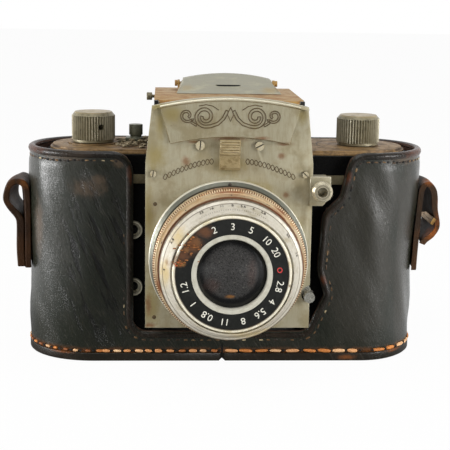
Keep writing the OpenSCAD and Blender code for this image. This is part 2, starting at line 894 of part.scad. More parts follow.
// Fluted film knob with a bevelled top, a shaft bore and a plain foot
module film_knob(x, z0) {
    flute = 0.5;
    foot = 0.8;
    top = 1.1;
    translate([x, 0, z0])
    difference() {
        union() {
            cylinder(r = knob_r - 0.35, h = foot);
            translate([0, 0, foot]) linear_extrude(knob_h - foot - top)
                polygon([for (i = [0:2 * knob_flutes - 1])
                    (knob_r - (i % 2) * flute)
                        * [cos(step_angle(i, 2 * knob_flutes)),
                           sin(step_angle(i, 2 * knob_flutes))]]);
            translate([0, 0, knob_h - top])
                cylinder(r1 = knob_r - 0.1, r2 = knob_r - 1.0, h = top);
        }
        translate([0, 0, -1]) cylinder(r = shaft_r + seat_gap, h = knob_h - knob_cap + 1);
    }
}

module wind_knob() {
    color("#7d776a")
    difference() {
        film_knob(-wind_x, wind_knob_z);
        translate([-wind_x, 0, wind_knob_z + knob_h * 0.52])
            rotate([0, 0, 25]) rotate([90, 0, 0]) cylinder(r = 0.9, h = knob_r + 1);
    }
}

module wind_shaft() {
    color("#9b9689")
    union() {
        rod(-wind_x, 0, chamber_z1 - 3, wind_knob_z + knob_h - knob_cap - seat_gap, shaft_r);
        block([-wind_x - 0.7, -3.4, chamber_z1 - 6], [-wind_x + 0.7, 3.4, chamber_z1 - 3]);
    }
}

module takeup_spool() {
    core_r = 5.2;
    z0 = chamber_z0 + 0.3;
    z1 = chamber_z1 - 1.2;
    color("#1b1a1a")
    difference() {
        union() {
            rod(-wind_x, 0, z0, z1, core_r);
            rod(-wind_x, 0, z0, z0 + 1.4, spool_rim_r);
            rod(-wind_x, 0, z1 - 7.2, z1 - 5.8, spool_rim_r);
        }
        rod(-wind_x, 0, chamber_z1 - 6.4, z1 + 1, 3.9);
        block([-wind_x - 0.6, -core_r - 1, z0 + 4], [-wind_x + 0.6, core_r + 1, z1 - 12]);
    }
}

module counter_dial() {
    color("#a9a28f")
    difference() {
        rod(-wind_x, 0, plate_top - 0.3, plate_top + 0.3, counter_r);
        rod(-wind_x, 0, plate_top - 1, plate_top + 1, shaft_r + run_fit);
    }
}

// Eight-tooth sprocket on its axle
module film_sprocket() {
    hub_r = 4.2;
    z0 = lens_z - 17.5;
    z1 = lens_z + 17.5;
    color("#b0aa9c")
    union() {
        rod(-sprocket_x, sprocket_y, chamber_z0 - 1.6, chamber_z1 + 1.6, sprocket_axle_r);
        rod(-sprocket_x, sprocket_y, z0, z1, hub_r);
        for (z = [lens_z - 15.6, lens_z + 13.6])
            translate([-sprocket_x, sprocket_y, z]) linear_extrude(2) {
                circle(r = 4.9);
                for (i = [0:7]) rotate(step_angle(i, 8) + 12)
                    polygon([[4.6, -0.7], [sprocket_r, -0.35],
                             [sprocket_r, 0.35], [4.6, 0.7]]);
            }
    }
}

module rewind_knob() {
    color("#8a8375") film_knob(rewind_x, rewind_knob_z);
}

// Shaft with the fork that turns the cassette spool
module rewind_shaft() {
    color("#9b9689")
    union() {
        rod(rewind_x, 0, chamber_z1 - 2.2, rewind_knob_z + knob_h - knob_cap - seat_gap, shaft_r);
        block([rewind_x - 2.4, -0.6, chamber_z1 - 4.8],
              [rewind_x + 2.4, 0.6, chamber_z1 - 2.2]);
    }
}

// Film cassette with its lipped caps, light-trap lip and open hub
module film_cassette() {
    r = 12.3;
    cap_r = 12.6;
    z0 = chamber_z0 + 0.3;
    z1 = chamber_z1 - 5.4;
    color("#6f7f6a")
    difference() {
        union() {
            rod(rewind_x, 0, z0, z1, r);
            rod(rewind_x, 0, z0, z0 + 1.8, cap_r);
            rod(rewind_x, 0, z1 - 1.8, z1, cap_r);
            rod(rewind_x, 0, z1, z1 + 4.6, 5.6);
        }
        rod(rewind_x, 0, z1 - 6, z1 + 6, 4.2);
    }
}

// Selector knob on its stem, with the pointer over the scale
module speed_selector() {
    z0 = plate_top + 1.0;
    color("#6e695d")
    union() {
        rod(-speed_x, 0, body_top - 2.2, z0 + 0.2, 1.2);
        translate([-speed_x, 0, z0]) linear_extrude(0.9) polygon(rounded([
            [-2.6, -2.6, 1.2], [2.6, -2.6, 1.2], [2.6, 2.6, 1.2],
            [0, 3.9, 0.6], [-2.6, 2.6, 1.2]], 4));
        rod(-speed_x + 0.6, 0.4, z0 + 0.5, z0 + 1.6, speed_knob_r - 0.35);
        rod(-speed_x + 0.6, 0.4, z0 + 1.6, z0 + speed_knob_h, speed_knob_r);
    }
}

module release_button() {
    front = release_face + 4.4;
    back = release_face + 2.3;
    neck = release_bore_back + release_spring_len + 0.2;
    color("#c9c3b3")
    difference() {
        union() {
            translate([release_x, 0, release_z]) rotate([90, 0, 0])
                rotate_extrude() polygon([
                    [0, back], [release_head_r, back],
                    [release_head_r, front - 0.6], [release_head_r - 0.6, front],
                    [0, front]]);
            forward_rod(release_x, release_z, neck, back + 0.1, release_neck_r);
            forward_rod(release_x, release_z, release_bore_back - 0.5, neck, release_stem_r);
        }
        forward_rod(release_x, release_z, front - cable_depth, front + 1, cable_r);
    }
}

module release_spring() {
    color("#8f8b82")
    difference() {
        forward_rod(release_x, release_z, release_bore_back + 0.1,
                    release_bore_back + 0.1 + release_spring_len, release_neck_r - 0.1);
        forward_rod(release_x, release_z, release_bore_back - 1,
                    release_bore_back + release_spring_len + 1, release_stem_r + 0.15);
    }
}

// Frame of the reflex mirror, drawn level and tilted about its hinge
module at_mirror() {
    translate([0, mirror_y, mirror_z]) rotate([45, 0, 0]) children();
}

module mirror_frame() {
    color("#5b5a57")
    at_mirror() difference() {
        union() {
            cross_rod(-mirror_half, mirror_half, 0, 0, mirror_barrel_r);
            block([-mirror_half, -mirror_len, -1.6], [mirror_half, 0, -0.65]);
            for (s = [-1, 1])
                block([s < 0 ? -mirror_half : mirror_half - 0.7, -mirror_len + 6, -1.6],
                      [s < 0 ? -mirror_half + 0.7 : mirror_half, 0, 0.4]);
        }
        cross_rod(-big, big, 0, 0, mirror_pin_r + run_fit);
    }
}

module mirror_glass() {
    color("#dfe6e8")
    at_mirror()
        block([-mirror_half + 0.9, -mirror_len + 0.5, -0.6],
              [mirror_half - 0.9, -2.0, 0.3]);
}

// Ribbed slide that frees the finder
module finder_catch() {
    ribs = 5;
    pitch = 0.74;
    front = plate_y + slider_t + seat_gap;
    step_z = slider_z1 - 4.6;
    color("#a59a7f")
    difference() {
        union() {
            translate([-slider_half, 0, 0]) rotate([90, 0, 90])
                linear_extrude(2 * slider_half) polygon([
                    [-plate_y - 0.1, slider_z0], [-front + 1.4, slider_z0],
                    [-front + 0.8, slider_z0 + 0.8], [-front + 0.9, step_z],
                    [-front, step_z + 0.6], [-front, slider_z1 - 0.3],
                    [-front + 0.3, slider_z1], [-plate_y - 0.1, slider_z1]]);
            block([-0.9, -plate_y - 0.2, slider_z0 + 3.6], [0.9, -plate_y + 0.9, slider_z0 + 6.8]);
        }
        for (i = [0:ribs - 1])
            translate([0, -front, slider_z1 - 0.8 - i * pitch]) rotate([45, 0, 0])
                cube([2 * slider_half - 0.8, 0.5, 0.5], center = true);
    }
}

// Thumb pin of the lens lock on its lever behind the plate
module lens_catch() {
    arm_far = plate_y - plate_t - 0.2;
    arm_near = arm_far - 0.6;
    p = lens_catch_pivot;
    color("#bdb6a5")
    difference() {
        union() {
            forward_rod(lens_catch_x, lens_catch_z, arm_near, plate_y + 2.6, lens_catch_r);
            forward(arm_near, arm_far) {
                translate(p) circle(r = 1.7);
                polygon([[p[0] - 1.6, p[1] - 0.4], [p[0] + 1.6, p[1] + 0.4],
                         [lens_catch_x + 1.1, lens_catch_z + 0.9],
                         [lens_catch_x - 1.4, lens_catch_z - 0.3]]);
            }
        }
        forward_rod(p[0], p[1], arm_near - 1, arm_far + 1, 0.7);
    }
}

// Fluted focusing ring with a plain collar
module focus_ring() {
    grooves = 60;
    color("#a58a66")
    difference() {
        lens_turn() polygon([
            [tube_r + move_gap, focus_back], [focus_r - 0.3, focus_back],
            [focus_r, focus_back + 0.3], [focus_r, focus_step - 0.4],
            [focus_r - 0.4, focus_step], [focus_collar_r, focus_step],
            [focus_collar_r, focus_front], [tube_r + move_gap, focus_front]
        ]);
        translate([0, -focus_back - 1, lens_z]) rotate([90, 0, 0])
            for (i = [0:grooves - 1]) rotate(step_angle(i, grooves))
                translate([focus_r, 0, 0]) rotate(45)
                    translate([-0.25, -0.25, 0]) cube([0.5, 0.5, 3.0]);
    }
}

// Sliding head that carries the glasses, with its front lip
module lens_head() {
    rear_web = head_back + 1.0;
    color("#b2ac9d")
    lens_turn() polygon([
        [rear_glass_r + seat_gap, rear_web], [head_bore, rear_web],
        [head_bore, head_back], [head_r, head_back], [head_r, lens_y - 1.6],
        [head_r - 0.45, lens_y - 1.6], [head_r - 0.45, lens_y - 0.2],
        [head_r - 0.65, lens_y], [name_r + seat_gap, lens_y],
        [name_r + seat_gap, name_y - name_t], [head_bore, name_y - name_t],
        [head_bore, rear_web + 4.5], [rear_glass_r + seat_gap, rear_web + 4.5]
    ]);
}

module front_cell() {
    back = name_y - name_t - 10.0;
    color("#2a2927")
    lens_turn() difference() {
        band(glass_r + seat_gap, head_bore - seat_gap, back, name_y - name_t - seat_gap);
        band(0, retainer_r + seat_gap, name_y - retainer_t - seat_gap, name_y);
    }
}

module name_ring() {
    color("#151515")
    lens_turn() band(retainer_r + seat_gap, name_r, name_y - name_t, name_y);
}

// Pale ring that holds the front glass, coned inside
module retaining_ring() {
    color("#d9d6cc")
    lens_turn() polygon([
        [glass_r + seat_gap, name_y - retainer_t], [retainer_r, name_y - retainer_t],
        [retainer_r, name_y], [glass_r + 0.35, name_y], [glass_r + seat_gap, name_y - 0.6]
    ]);
}

// Glass between a flat back and a domed front
module front_element() {
    color("#3a3f44")
    intersection() {
        forward_rod(0, lens_z, name_y - 6.0, lens_y + 2, glass_r);
        translate([0, -lens_y - 0.3 + front_radius, lens_z])
            sphere(r = front_radius, $fn = 96);
    }
}

module rear_element() {
    web = head_back + 1.0;
    color("#59646b")
    intersection() {
        forward_rod(0, lens_z, web - 0.6, web + 4.0, rear_glass_r);
        translate([0, -web + 0.4 - 26, lens_z]) sphere(r = 26, $fn = 96);
    }
}

// Ten-sided iris opening in its ring of blades
module iris() {
    back = head_back + 7.0;
    color("#1a1a1a")
    difference() {
        forward_rod(0, lens_z, back, back + 0.8, head_bore - seat_gap);
        translate([0, -back + 1, lens_z]) rotate([90, 0, 0])
            cylinder(r = iris_r, h = 4, $fn = 10);
    }
}

// Aperture ring with its pale coned scale
module aperture_ring() {
    color("#cfccc2")
    difference() {
        lens_turn() polygon([
            [head_r + run_fit, stop_back], [stop_r, stop_back],
            [stop_r, stop_step - 0.7], [cone_r, stop_step],
            [head_r + 0.35, lens_y - 0.3], [head_r + run_fit, lens_y - 0.3]
        ]);
        translate([0, -stop_back - 0.5, lens_z]) rotate([90, 0, 0])
            for (i = [0:47]) rotate(step_angle(i, 48))
                translate([stop_r, 0, 0]) rotate(45)
                    translate([-0.2, -0.2, 0]) cube([0.4, 0.4, 0.9]);
    }
}

// Solid under the domed flap: front view, side view and plan cut into one another
module dome_solid(inset) {
    w = dome_half - inset;
    h = dome_h - inset;
    slope = dome_h / (dome_front + dome_ridge);
    toe = dome_front - inset / slope;
    foot = inset > 0 ? -1 : 0;
    shoulder = dome_h - dome_droop;
    arch_r = (dome_half * dome_half + dome_droop * dome_droop) / (2 * dome_droop);
    tail = dome_pin_y + dome_tail - inset;
    translate([dome_x, 0, lid_top + 0.1]) intersection() {
        forward(-20, 20) polygon([[-w, -2], [-w, 0], [-w + dome_lean, shoulder],
                                  [-w + dome_lean, dome_h + 1], [w - dome_lean, dome_h + 1],
                                  [w - dome_lean, shoulder], [w, 0], [w, -2]]);
        forward_rod(0, h - arch_r, -20, 20, arch_r);
        translate([0, 0, foot]) linear_extrude(dome_h + 2)
            polygon([[-w, -dome_front - 1], [w, -dome_front - 1],
                     [dome_back - inset, tail + 1], [-dome_back + inset, tail + 1]]);
        translate([-big / 2, 0, 0]) rotate([90, 0, 90]) linear_extrude(big) {
            polygon([[-toe, -2], [-toe, 0], [dome_ridge, h], [dome_ridge + 1.4, h],
                     [tail, h - 1.6], [tail, dome_tail], [dome_pin_y, dome_tail],
                     [dome_pin_y, -2]]);
            translate([dome_pin_y, dome_tail]) circle(r = dome_tail - inset);
        }
    }
}

// Headed pins pressed into the lid's ears, on which the magnifier's housing swings
module ear_pins() {
    reach = ear_x + ear_t;
    for (s = [-1, 1])
        translate([dome_x, 0, 0]) mirror([s < 0 ? 1 : 0, 0, 0]) {
            cross_rod(ear_x - 2.4, reach + 0.1, dome_pin_y, dome_pin_z, dome_pin_r);
            cross_rod(reach + 0.05, reach + 0.9, dome_pin_y, dome_pin_z, 0.95);
        }
}

module hood_lid() {
    top = hood_z + 0.1;
    color("#b0a184")
    difference() {
        union() {
            block([-hood_half, -hood_front + 0.05, top], [hood_half, hood_back, lid_top]);
            cross_rod(-hood_half + 1.5, hood_half - 1.5, -lid_hinge_y, lid_hinge_z,
                      lid_knuckle_r);
            block([-hood_half + 1.5, -lid_hinge_y, lid_hinge_z],
                  [hood_half - 1.5, -hood_front + 1, lid_hinge_z + lid_knuckle_r]);
            for (s = [-1, 1]) {
                x = dome_x + s * (ear_x + ear_t / 2);
                block([x - ear_t / 2, dome_pin_y - 1.1, top],
                      [x + ear_t / 2, dome_pin_y + 1.1, dome_pin_z]);
                cross_rod(x - ear_t / 2, x + ear_t / 2, dome_pin_y, dome_pin_z, 1.1);
            }
            ear_pins();
        }
        cross_rod(-big, big, -lid_hinge_y, lid_hinge_z, hood_pin_r + run_fit);
        rod(0, magnifier_y, top - 1, top + 3, magnifier_r + 1.0);
        block([-big, -hood_front - 0.1, top - 3], [big, hood_back, top]);
        for (s = [-1, 1]) translate([s * hood_half, -hood_front, top])
            cube([2.8, 1.4, 4], center = true);
    }
}

// Domed sheet flap over the folded magnifier, swinging on the pins in the lid's ears
module magnifier_dome() {
    rib_y = -4.2;
    rib_z = lid_top + 0.1 + dome_h * (dome_front + rib_y) / (dome_front + dome_ridge);
    color("#b8b3a4")
    difference() {
        union() {
            dome_solid(0);
            cross_rod(dome_x - 3.9, dome_x + 3.9, rib_y, rib_z, 0.3);
        }
        dome_solid(dome_t);
        cross_rod(-big, big, dome_pin_y, dome_pin_z, dome_pin_r + run_fit);
    }
}

module magnifier_ring() {
    z0 = hood_z + 0.1;
    color("#8e8776")
    difference() {
        rod(0, magnifier_y, z0, z0 + 1.2, magnifier_r + 0.95);
        rod(0, magnifier_y, z0 - 1, z0 + 4, magnifier_r + seat_gap);
    }
}

module magnifier_lens() {
    z0 = hood_z + 0.2;
    rise = 2.2;
    round_r = 18;
    color("#cfdde0")
    intersection() {
        rod(0, magnifier_y, z0, z0 + 4, magnifier_r);
        translate([0, magnifier_y, z0 + rise - round_r]) sphere(r = round_r, $fn = 96);
    }
}

// Folding leaf with mitred sides and a rolled hinge, lying toward -Y
module leaf(half, length, mitre) {
    difference() {
        union() {
            translate([0, 0, -leaf_t / 2]) linear_extrude(leaf_t)
                polygon([[-half, 0], [-half + mitre, -length],
                         [half - mitre, -length], [half, 0]]);
            cross_rod(-half, half, 0, 0, leaf_knuckle_r);
        }
        cross_rod(-big, big, 0, 0, hood_pin_r + run_fit);
    }
}

module rear_leaf() {
    color("#3b3833")
    translate([0, rear_hinge_y, rear_hinge_z])
        leaf(hood_half - sheet_t - 1.9, rear_leaf_len, rear_leaf_len);
}

// Side leaf, hinged on one long wall
module side_leaf(s) {
    y0 = -hood_front + sheet_t + 0.6;
    y1 = rear_hinge_y - leaf_knuckle_r - 0.5;
    half = (y1 - y0) / 2;
    translate([s * side_hinge_x, (y0 + y1) / 2, side_hinge_z])
        rotate([0, 0, -s * 90]) leaf(half, side_leaf_len, side_leaf_len);
}

module side_leaf_left() {
    color("#3b3833") side_leaf(-1);
}

module side_leaf_right() {
    color("#3b3833") side_leaf(1);
}

// Press knob on the left of the hood
module hood_latch() {
    out = hood_half + 0.9;
    color("#6a675c")
    union() {
        cross_rod(-out - 1.7, -out, 0, latch_z, latch_r);
        cross_rod(-out, -hood_half + sheet_t - 0.1, 0, latch_z, latch_stem_r);
    }
}

case_shell();
case_sole();
case_board();
screw_plate();
case_screw();
strap_tab_left();
strap_tab_right();
strap_ring_right();
body_casting();
top_plate();
body_covering();
trim_strips();
front_plate();
plate_screws();
flash_sockets();
tripod_bush();
film_gate();
finder_frame();
focusing_screen();
condenser();
finder_pins();
lens_mount();
release_housing();
speed_disc();
mirror_pin();
back_cover();
pressure_plate();
pressure_spring();
wind_knob();
wind_shaft();
takeup_spool();
counter_dial();
film_sprocket();
rewind_knob();
rewind_shaft();
film_cassette();
speed_selector();
release_button();
release_spring();
mirror_frame();
mirror_glass();
finder_catch();
lens_catch();
focus_ring();
lens_head();
front_cell();
name_ring();
retaining_ring();
front_element();
rear_element();
iris();
aperture_ring();
hood_lid();
magnifier_dome();
magnifier_ring();
magnifier_lens();
rear_leaf();
side_leaf_left();
side_leaf_right();
hood_latch();
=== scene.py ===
"""Looks of a small reflex camera that stands in the lower half of its leather case."""
import json
import math
import random

import bmesh
import bpy
from mathutils import Matrix, Vector, noise


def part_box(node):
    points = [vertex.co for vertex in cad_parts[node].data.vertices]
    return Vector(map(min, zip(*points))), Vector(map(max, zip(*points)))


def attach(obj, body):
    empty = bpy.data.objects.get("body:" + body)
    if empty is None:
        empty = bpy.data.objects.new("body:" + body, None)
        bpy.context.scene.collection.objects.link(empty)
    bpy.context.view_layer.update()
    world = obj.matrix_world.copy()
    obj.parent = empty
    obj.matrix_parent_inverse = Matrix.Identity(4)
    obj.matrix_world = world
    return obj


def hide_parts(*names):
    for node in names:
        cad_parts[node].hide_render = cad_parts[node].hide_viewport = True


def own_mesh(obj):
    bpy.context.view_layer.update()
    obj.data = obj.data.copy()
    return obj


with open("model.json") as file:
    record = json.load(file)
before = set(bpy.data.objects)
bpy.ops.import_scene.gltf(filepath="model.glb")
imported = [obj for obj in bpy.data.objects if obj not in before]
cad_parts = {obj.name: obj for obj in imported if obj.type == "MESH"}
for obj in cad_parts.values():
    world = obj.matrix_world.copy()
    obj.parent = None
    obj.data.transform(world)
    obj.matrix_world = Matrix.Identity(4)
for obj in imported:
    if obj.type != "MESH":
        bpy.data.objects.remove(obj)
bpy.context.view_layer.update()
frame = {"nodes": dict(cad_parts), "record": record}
random.seed(7)
MM = 0.001


def span(node_name, axis):
    """Lowest and highest place of a CAD node along an axis, in millimetres."""
    low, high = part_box(node_name)
    return round(low[axis] / MM, 2), round(high[axis] / MM, 2)


def centre(node_name, axis):
    """Middle of a CAD node along an axis, in millimetres."""
    return round(sum(span(node_name, axis)) / 2, 2)


# Main sizes in millimetres, taken from the solids
LENS_Z = centre("name_ring", 2)
NAME_RING_FRONT = -span("name_ring", 1)[0]
WIND_X = centre("wind_knob", 0)
REWIND_X = centre("rewind_knob", 0)
CASE_MID = centre("case_shell", 0)
CASE_ROUND = span("case_shell", 1)[1]
CASE_STRAIGHT = span("case_shell", 0)[1] - CASE_MID - CASE_ROUND
CASE_TOP = span("case_shell", 2)[1]
WALL_FOOT = span("case_shell", 2)[0] + 0.05
SEAM_HALF = 2 * CASE_STRAIGHT + math.pi * CASE_ROUND

# Sizes that only the looks have, in millimetres
LEATHER = 2.0
BINDING_R = 1.2
BINDING_INSET = 1.15
STITCH_INSET = 2.75
WELT_Z = 3.3
PLATE_FACE = -37.22
SHIELD_FACE = -38.15

# Lens axis, and the vectors that leave one axis out of a distance
LENS_AXIS = (0, 0, LENS_Z)
OFF_Y = (1, 0, 1)
OFF_Z = (1, 1, 0)


def linear(hex_text):
    """Linear colour of an sRGB hex value."""
    parts = [int(hex_text[i:i + 2], 16) / 255 for i in (1, 3, 5)]
    return tuple(p / 12.92 if p <= 0.04045 else ((p + 0.055) / 1.055) ** 2.4 for p in parts) + (1.0,)


def add(tree, kind, wires=None, take=0, **settings):
    """Adds a node with its settings and links, and gives one of its outputs."""
    made = tree.nodes.new("ShaderNode" + kind)
    for key, value in settings.items():
        setattr(made, key, value)
    for key, value in (wires or {}).items():
        if isinstance(value, bpy.types.NodeSocket):
            tree.links.new(value, made.inputs[key])
        else:
            made.inputs[key].default_value = linear(value) if isinstance(value, str) else value
    return made.outputs[take]


def start(name):
    """A material, its shader, and the place on the object in millimetres."""
    mat = bpy.data.materials.new(name)
    mat.use_nodes = True
    tree = mat.node_tree
    where = add(tree, "TexCoord", take="Object")
    place = add(tree, "VectorMath", {0: where, "Scale": 1 / MM}, operation="SCALE")
    return mat, tree, tree.nodes["Principled BSDF"], place


def patches(tree, place, size, low, high, detail=4.0, rough=0.6, slant=0.0, drawn=(1, 1, 1)):
    """Soft-edged patches of a size in millimetres, drawn out along axes that slant to one side."""
    turned = add(tree, "Mapping", {"Vector": place, "Rotation": (0, math.radians(slant), 0), "Scale": drawn},
                 vector_type="TEXTURE")
    cloud = add(tree, "TexNoise", {"Vector": turned, "Scale": 1 / size, "Detail": detail, "Roughness": rough})
    return add(tree, "MapRange", {"Value": cloud, "From Min": low, "From Max": high},
               interpolation_type="SMOOTHSTEP")


def lay_over(tree, under, over, mask, strength=1.0):
    """One colour laid over another where the mask is, at a strength."""
    share = add(tree, "Math", {0: mask, 1: strength}, operation="MULTIPLY", use_clamp=True)
    return add(tree, "Mix", {0: share, 6: under, 7: over}, take=2, data_type="RGBA")


def pile(tree, *parts):
    """Adds up values, each with its weight."""
    total = 0.0
    for value, weight in parts:
        total = add(tree, "Math", {0: value, 1: weight, 2: total}, operation="MULTIPLY_ADD")
    return total


def spots(tree, place, marks, ragged=1.1):
    """Spots for stains, rust and painted shade, with ragged or clean edges, each from its middle and its
    reach along x, y and z.
    """
    edge = add(tree, "TexNoise", {"Vector": place, "Scale": 0.5, "Detail": 8.0, "Roughness": 0.78})
    found = 0.0
    for middle, reach in marks:
        near = add(tree, "Mapping", {"Vector": place, "Location": middle, "Scale": reach},
                   vector_type="TEXTURE")
        far = add(tree, "VectorMath", {0: near}, take="Value", operation="LENGTH")
        far = pile(tree, (far, 1.0), (edge, 2 * ragged))
        limits = {"From Min": 1.06 + 1.3 * ragged, "From Max": 0.9 + 0.35 * ragged}
        mask = add(tree, "MapRange", {"Value": far, **limits}, interpolation_type="SMOOTHSTEP")
        found = add(tree, "Math", {0: found, 1: mask}, operation="MAXIMUM")
    return found


def on_face(y, thick, *places):
    """Marks on an upright face at y, each from its x, its z and its reach along them, in millimetres."""
    return [((x, y, z), (wide, thick, high)) for x, z, wide, high in places]


def round_band(tree, place, point, across, radius, width):
    """One in a ring round an axis through a point, fading out over a width. Across leaves the axis out."""
    off = add(tree, "VectorMath", {0: place, 1: point}, operation="SUBTRACT")
    flat = add(tree, "VectorMath", {0: off, 1: across}, operation="MULTIPLY")
    gap = add(tree, "VectorMath", {0: flat}, take="Value", operation="LENGTH")
    away = add(tree, "Math", {0: pile(tree, (gap, 1.0), (1.0, -radius))}, operation="ABSOLUTE")
    return add(tree, "MapRange", {"Value": away, "From Min": width, "From Max": width * 0.3},
               interpolation_type="SMOOTHSTEP")


def lens_line(radius, width, tone, share):
    """A line turned round the lens axis."""
    return LENS_AXIS, OFF_Y, radius, width, tone, share


def ring_teeth(tree, place, count):
    """Fine notches round the lens, so many in one turn, from 0 to 1."""
    across = add(tree, "SeparateXYZ", {0: place}, take="X")
    height = add(tree, "SeparateXYZ", {0: place}, take="Z")
    turn = add(tree, "Math", {0: across, 1: pile(tree, (height, 1.0), (1.0, -LENS_Z))}, operation="ARCTAN2")
    wave = add(tree, "Math", {0: pile(tree, (turn, count))}, operation="SINE")
    return add(tree, "MapRange", {"Value": wave, "From Min": -0.4, "From Max": 0.5},
               interpolation_type="SMOOTHSTEP")


def finish(tree, shader, colour, rough, height, relief_mm, strength=1.0):
    """Gives the shader its colour, its roughness and its relief, whose depth is in millimetres."""
    tree.links.new(colour, shader.inputs["Base Color"])
    tree.links.new(rough, shader.inputs["Roughness"])
    relief = add(tree, "Bump", {"Strength": strength, "Distance": relief_mm * MM, "Height": height})
    tree.links.new(relief, shader.inputs["Normal"])


def old_metal(name, clean, dull, rust, metal=0.5, rough=0.42, patch=3, dulled=0.4, rusted=0.1, marks=(),
              stain=None, stained=(), holes=(), bands=(), teeth=0, relief_mm=0.05, drawn=(1, 1, 1)):
    """Aged plating: clouds and pits, rust at marks, stains, openings painted black as shade, and lines round
    an axis.

    The pits are 0.5 mm wide, coarser than real ones, because finer ones would not show.
    """
    mat, tree, shader, place = start(name)
    cloud = patches(tree, place, patch, 0.66 - dulled * 0.35, 0.86 - dulled * 0.35, 5.0, 0.62)
    mist = patches(tree, place, 0.9, 0.4, 0.75, 5.0, 0.7, drawn=drawn)
    pits = patches(tree, place, 0.5, 0.78 - rusted * 0.3, 0.84 - rusted * 0.3, 3.0, 0.7)
    colour = lay_over(tree, clean, dull, cloud, 0.8)
    colour = lay_over(tree, colour, dull, mist, 0.5)
    if stained:
        colour = lay_over(tree, colour, stain, spots(tree, place, stained), 0.7)
    worn = pits
    if marks:
        worn = add(tree, "Math", {0: pits, 1: spots(tree, place, marks)}, operation="MAXIMUM")
    colour = lay_over(tree, colour, rust, worn, 0.85)
    height = pile(tree, (mist, 0.5), (worn, -0.5))
    if teeth:
        notch = ring_teeth(tree, place, teeth)
        colour = lay_over(tree, "#6b4321", colour, notch)
        height = pile(tree, (height, 1.0), (notch, 2.0))
    for point, across, radius, width, tone, share in bands:
        colour = lay_over(tree, colour, tone, round_band(tree, place, point, across, radius, width), share)
    metallic = pile(tree, (worn, -metal * 0.9), (1.0, metal))
    dullness = pile(tree, (cloud, 0.12), (mist, 0.1), (worn, 0.25), (1.0, rough - 0.08))
    # Holes and slots are painted near-black: painted shade in the openings.
    if holes:
        dark = spots(tree, place, holes, 0.0)
        dullness = pile(tree, (dullness, 1.0), (dark, 0.6))
        colour = lay_over(tree, colour, "#020202", dark)
        metallic = pile(tree, (metallic, 1.0), (dark, -metal))
    tree.links.new(metallic, shader.inputs["Metallic"])
    finish(tree, shader, colour, dullness, height, relief_mm)
    return mat


def deep_creases(tree, place, colour, height):
    """The slanting folds in the left of the case front, where the leather has gone slack, darkened with
    painted shade.
    """
    fold = patches(tree, place, 2.4, 0.5, 0.4, 4.0, 0.55, slant=-22, drawn=(1, 1, 8))
    here = spots(tree, place, [((-38, -20, 32), (12, 6, 26))], 0.6)
    fold = add(tree, "Math", {0: fold, 1: here}, operation="MULTIPLY")
    # The folds are darkened towards black: painted shade in the creases.
    return lay_over(tree, colour, "#040404", fold, 0.8), pile(tree, (height, 1.0), (fold, -3.5))


def dried_foot(tree, place, colour):
    """Brown dried leather along the foot of the wall, and the split in its middle painted black as shade."""
    low = add(tree, "SeparateXYZ", {0: place}, take="Z")
    foot = add(tree, "MapRange", {"Value": low, "From Min": 5.0, "From Max": 2.8},
               interpolation_type="SMOOTHSTEP")
    foot = add(tree, "Math", {0: foot, 1: patches(tree, place, 3, 0.35, 0.6)}, operation="MULTIPLY")
    colour = lay_over(tree, colour, "#6a3f1d", foot, 0.8)
    # The split is a black spot: painted shade in the gap.
    split = spots(tree, place, [((-0.5, -20.5, 3.8), (0.32, 2.0, 1.9))], 0.0)
    return lay_over(tree, colour, "#050403", split)


def case_leather(name, black, brown, marks, tan, band=(), wall=False, gloss=0.36, level=0.3, wax=0.0):
    """Dyed and polished cowhide with fine slanting wrinkles, brown where it is rubbed or dried out.

    Wrinkles of 0.75 mm and pores of 0.4 mm are about twice the real ones, which would not show.
    """
    mat, tree, shader, place = start(name)
    cloud = patches(tree, place, 15, 0.42, 0.7, 5.0, 0.6)
    smear = patches(tree, place, 5, 0.42, 0.75, 5.0, 0.65, slant=-22, drawn=(1, 1, 2.5))
    wrinkle = patches(tree, place, 0.75, 0.3, 0.62, 4.0, 0.6, slant=-22, drawn=(1, 1, 5))
    scratch = patches(tree, place, 0.7, 0.6, 0.72, 2.0, 0.5, slant=-35, drawn=(0.5, 0.5, 9))
    pore = patches(tree, place, 0.4, 0.35, 0.6, 2.0, 0.5)
    colour = lay_over(tree, black, brown, cloud, 0.5)
    colour = lay_over(tree, colour, brown, smear, 0.4)
    colour = lay_over(tree, colour, "#6f675a", scratch, 0.12)
    height = pile(tree, (wrinkle, 0.45), (pore, 0.3))
    # Paler grey patches, used over the right flap and its right end: partly a dusty bloom, partly painted
    # sheen from the light at the right.
    if band:
        colour = lay_over(tree, colour, "#2c2a23", spots(tree, place, band, 0.3), 0.75)
    colour = lay_over(tree, colour, tan, spots(tree, place, marks), 0.85)
    if wall:
        colour, height = deep_creases(tree, place, colour, height)
        colour = dried_foot(tree, place, colour)
    shine = pile(tree, (cloud, 0.1), (wrinkle, -0.08), (scratch, 0.2), (1.0, gloss))
    finish(tree, shader, colour, shine, height, 0.09, 0.8)
    shader.inputs["Specular IOR Level"].default_value = level
    shader.inputs["Coat Weight"].default_value = wax
    shader.inputs["Coat Roughness"].default_value = 0.3
    return mat


def even(name, tone, mottled, metal=0.0, rough=0.5, amount=0.35, size=1.5, relief_mm=0.03, level=0.5):
    """One tone with a slight mottling."""
    mat, tree, shader, place = start(name)
    cloud = patches(tree, place, size, 0.4, 0.72)
    shader.inputs["Metallic"].default_value = metal
    shader.inputs["Specular IOR Level"].default_value = level
    colour = lay_over(tree, tone, mottled, cloud, amount)
    finish(tree, shader, colour, pile(tree, (cloud, 0.15), (1.0, rough - 0.07)), cloud, relief_mm)
    return mat


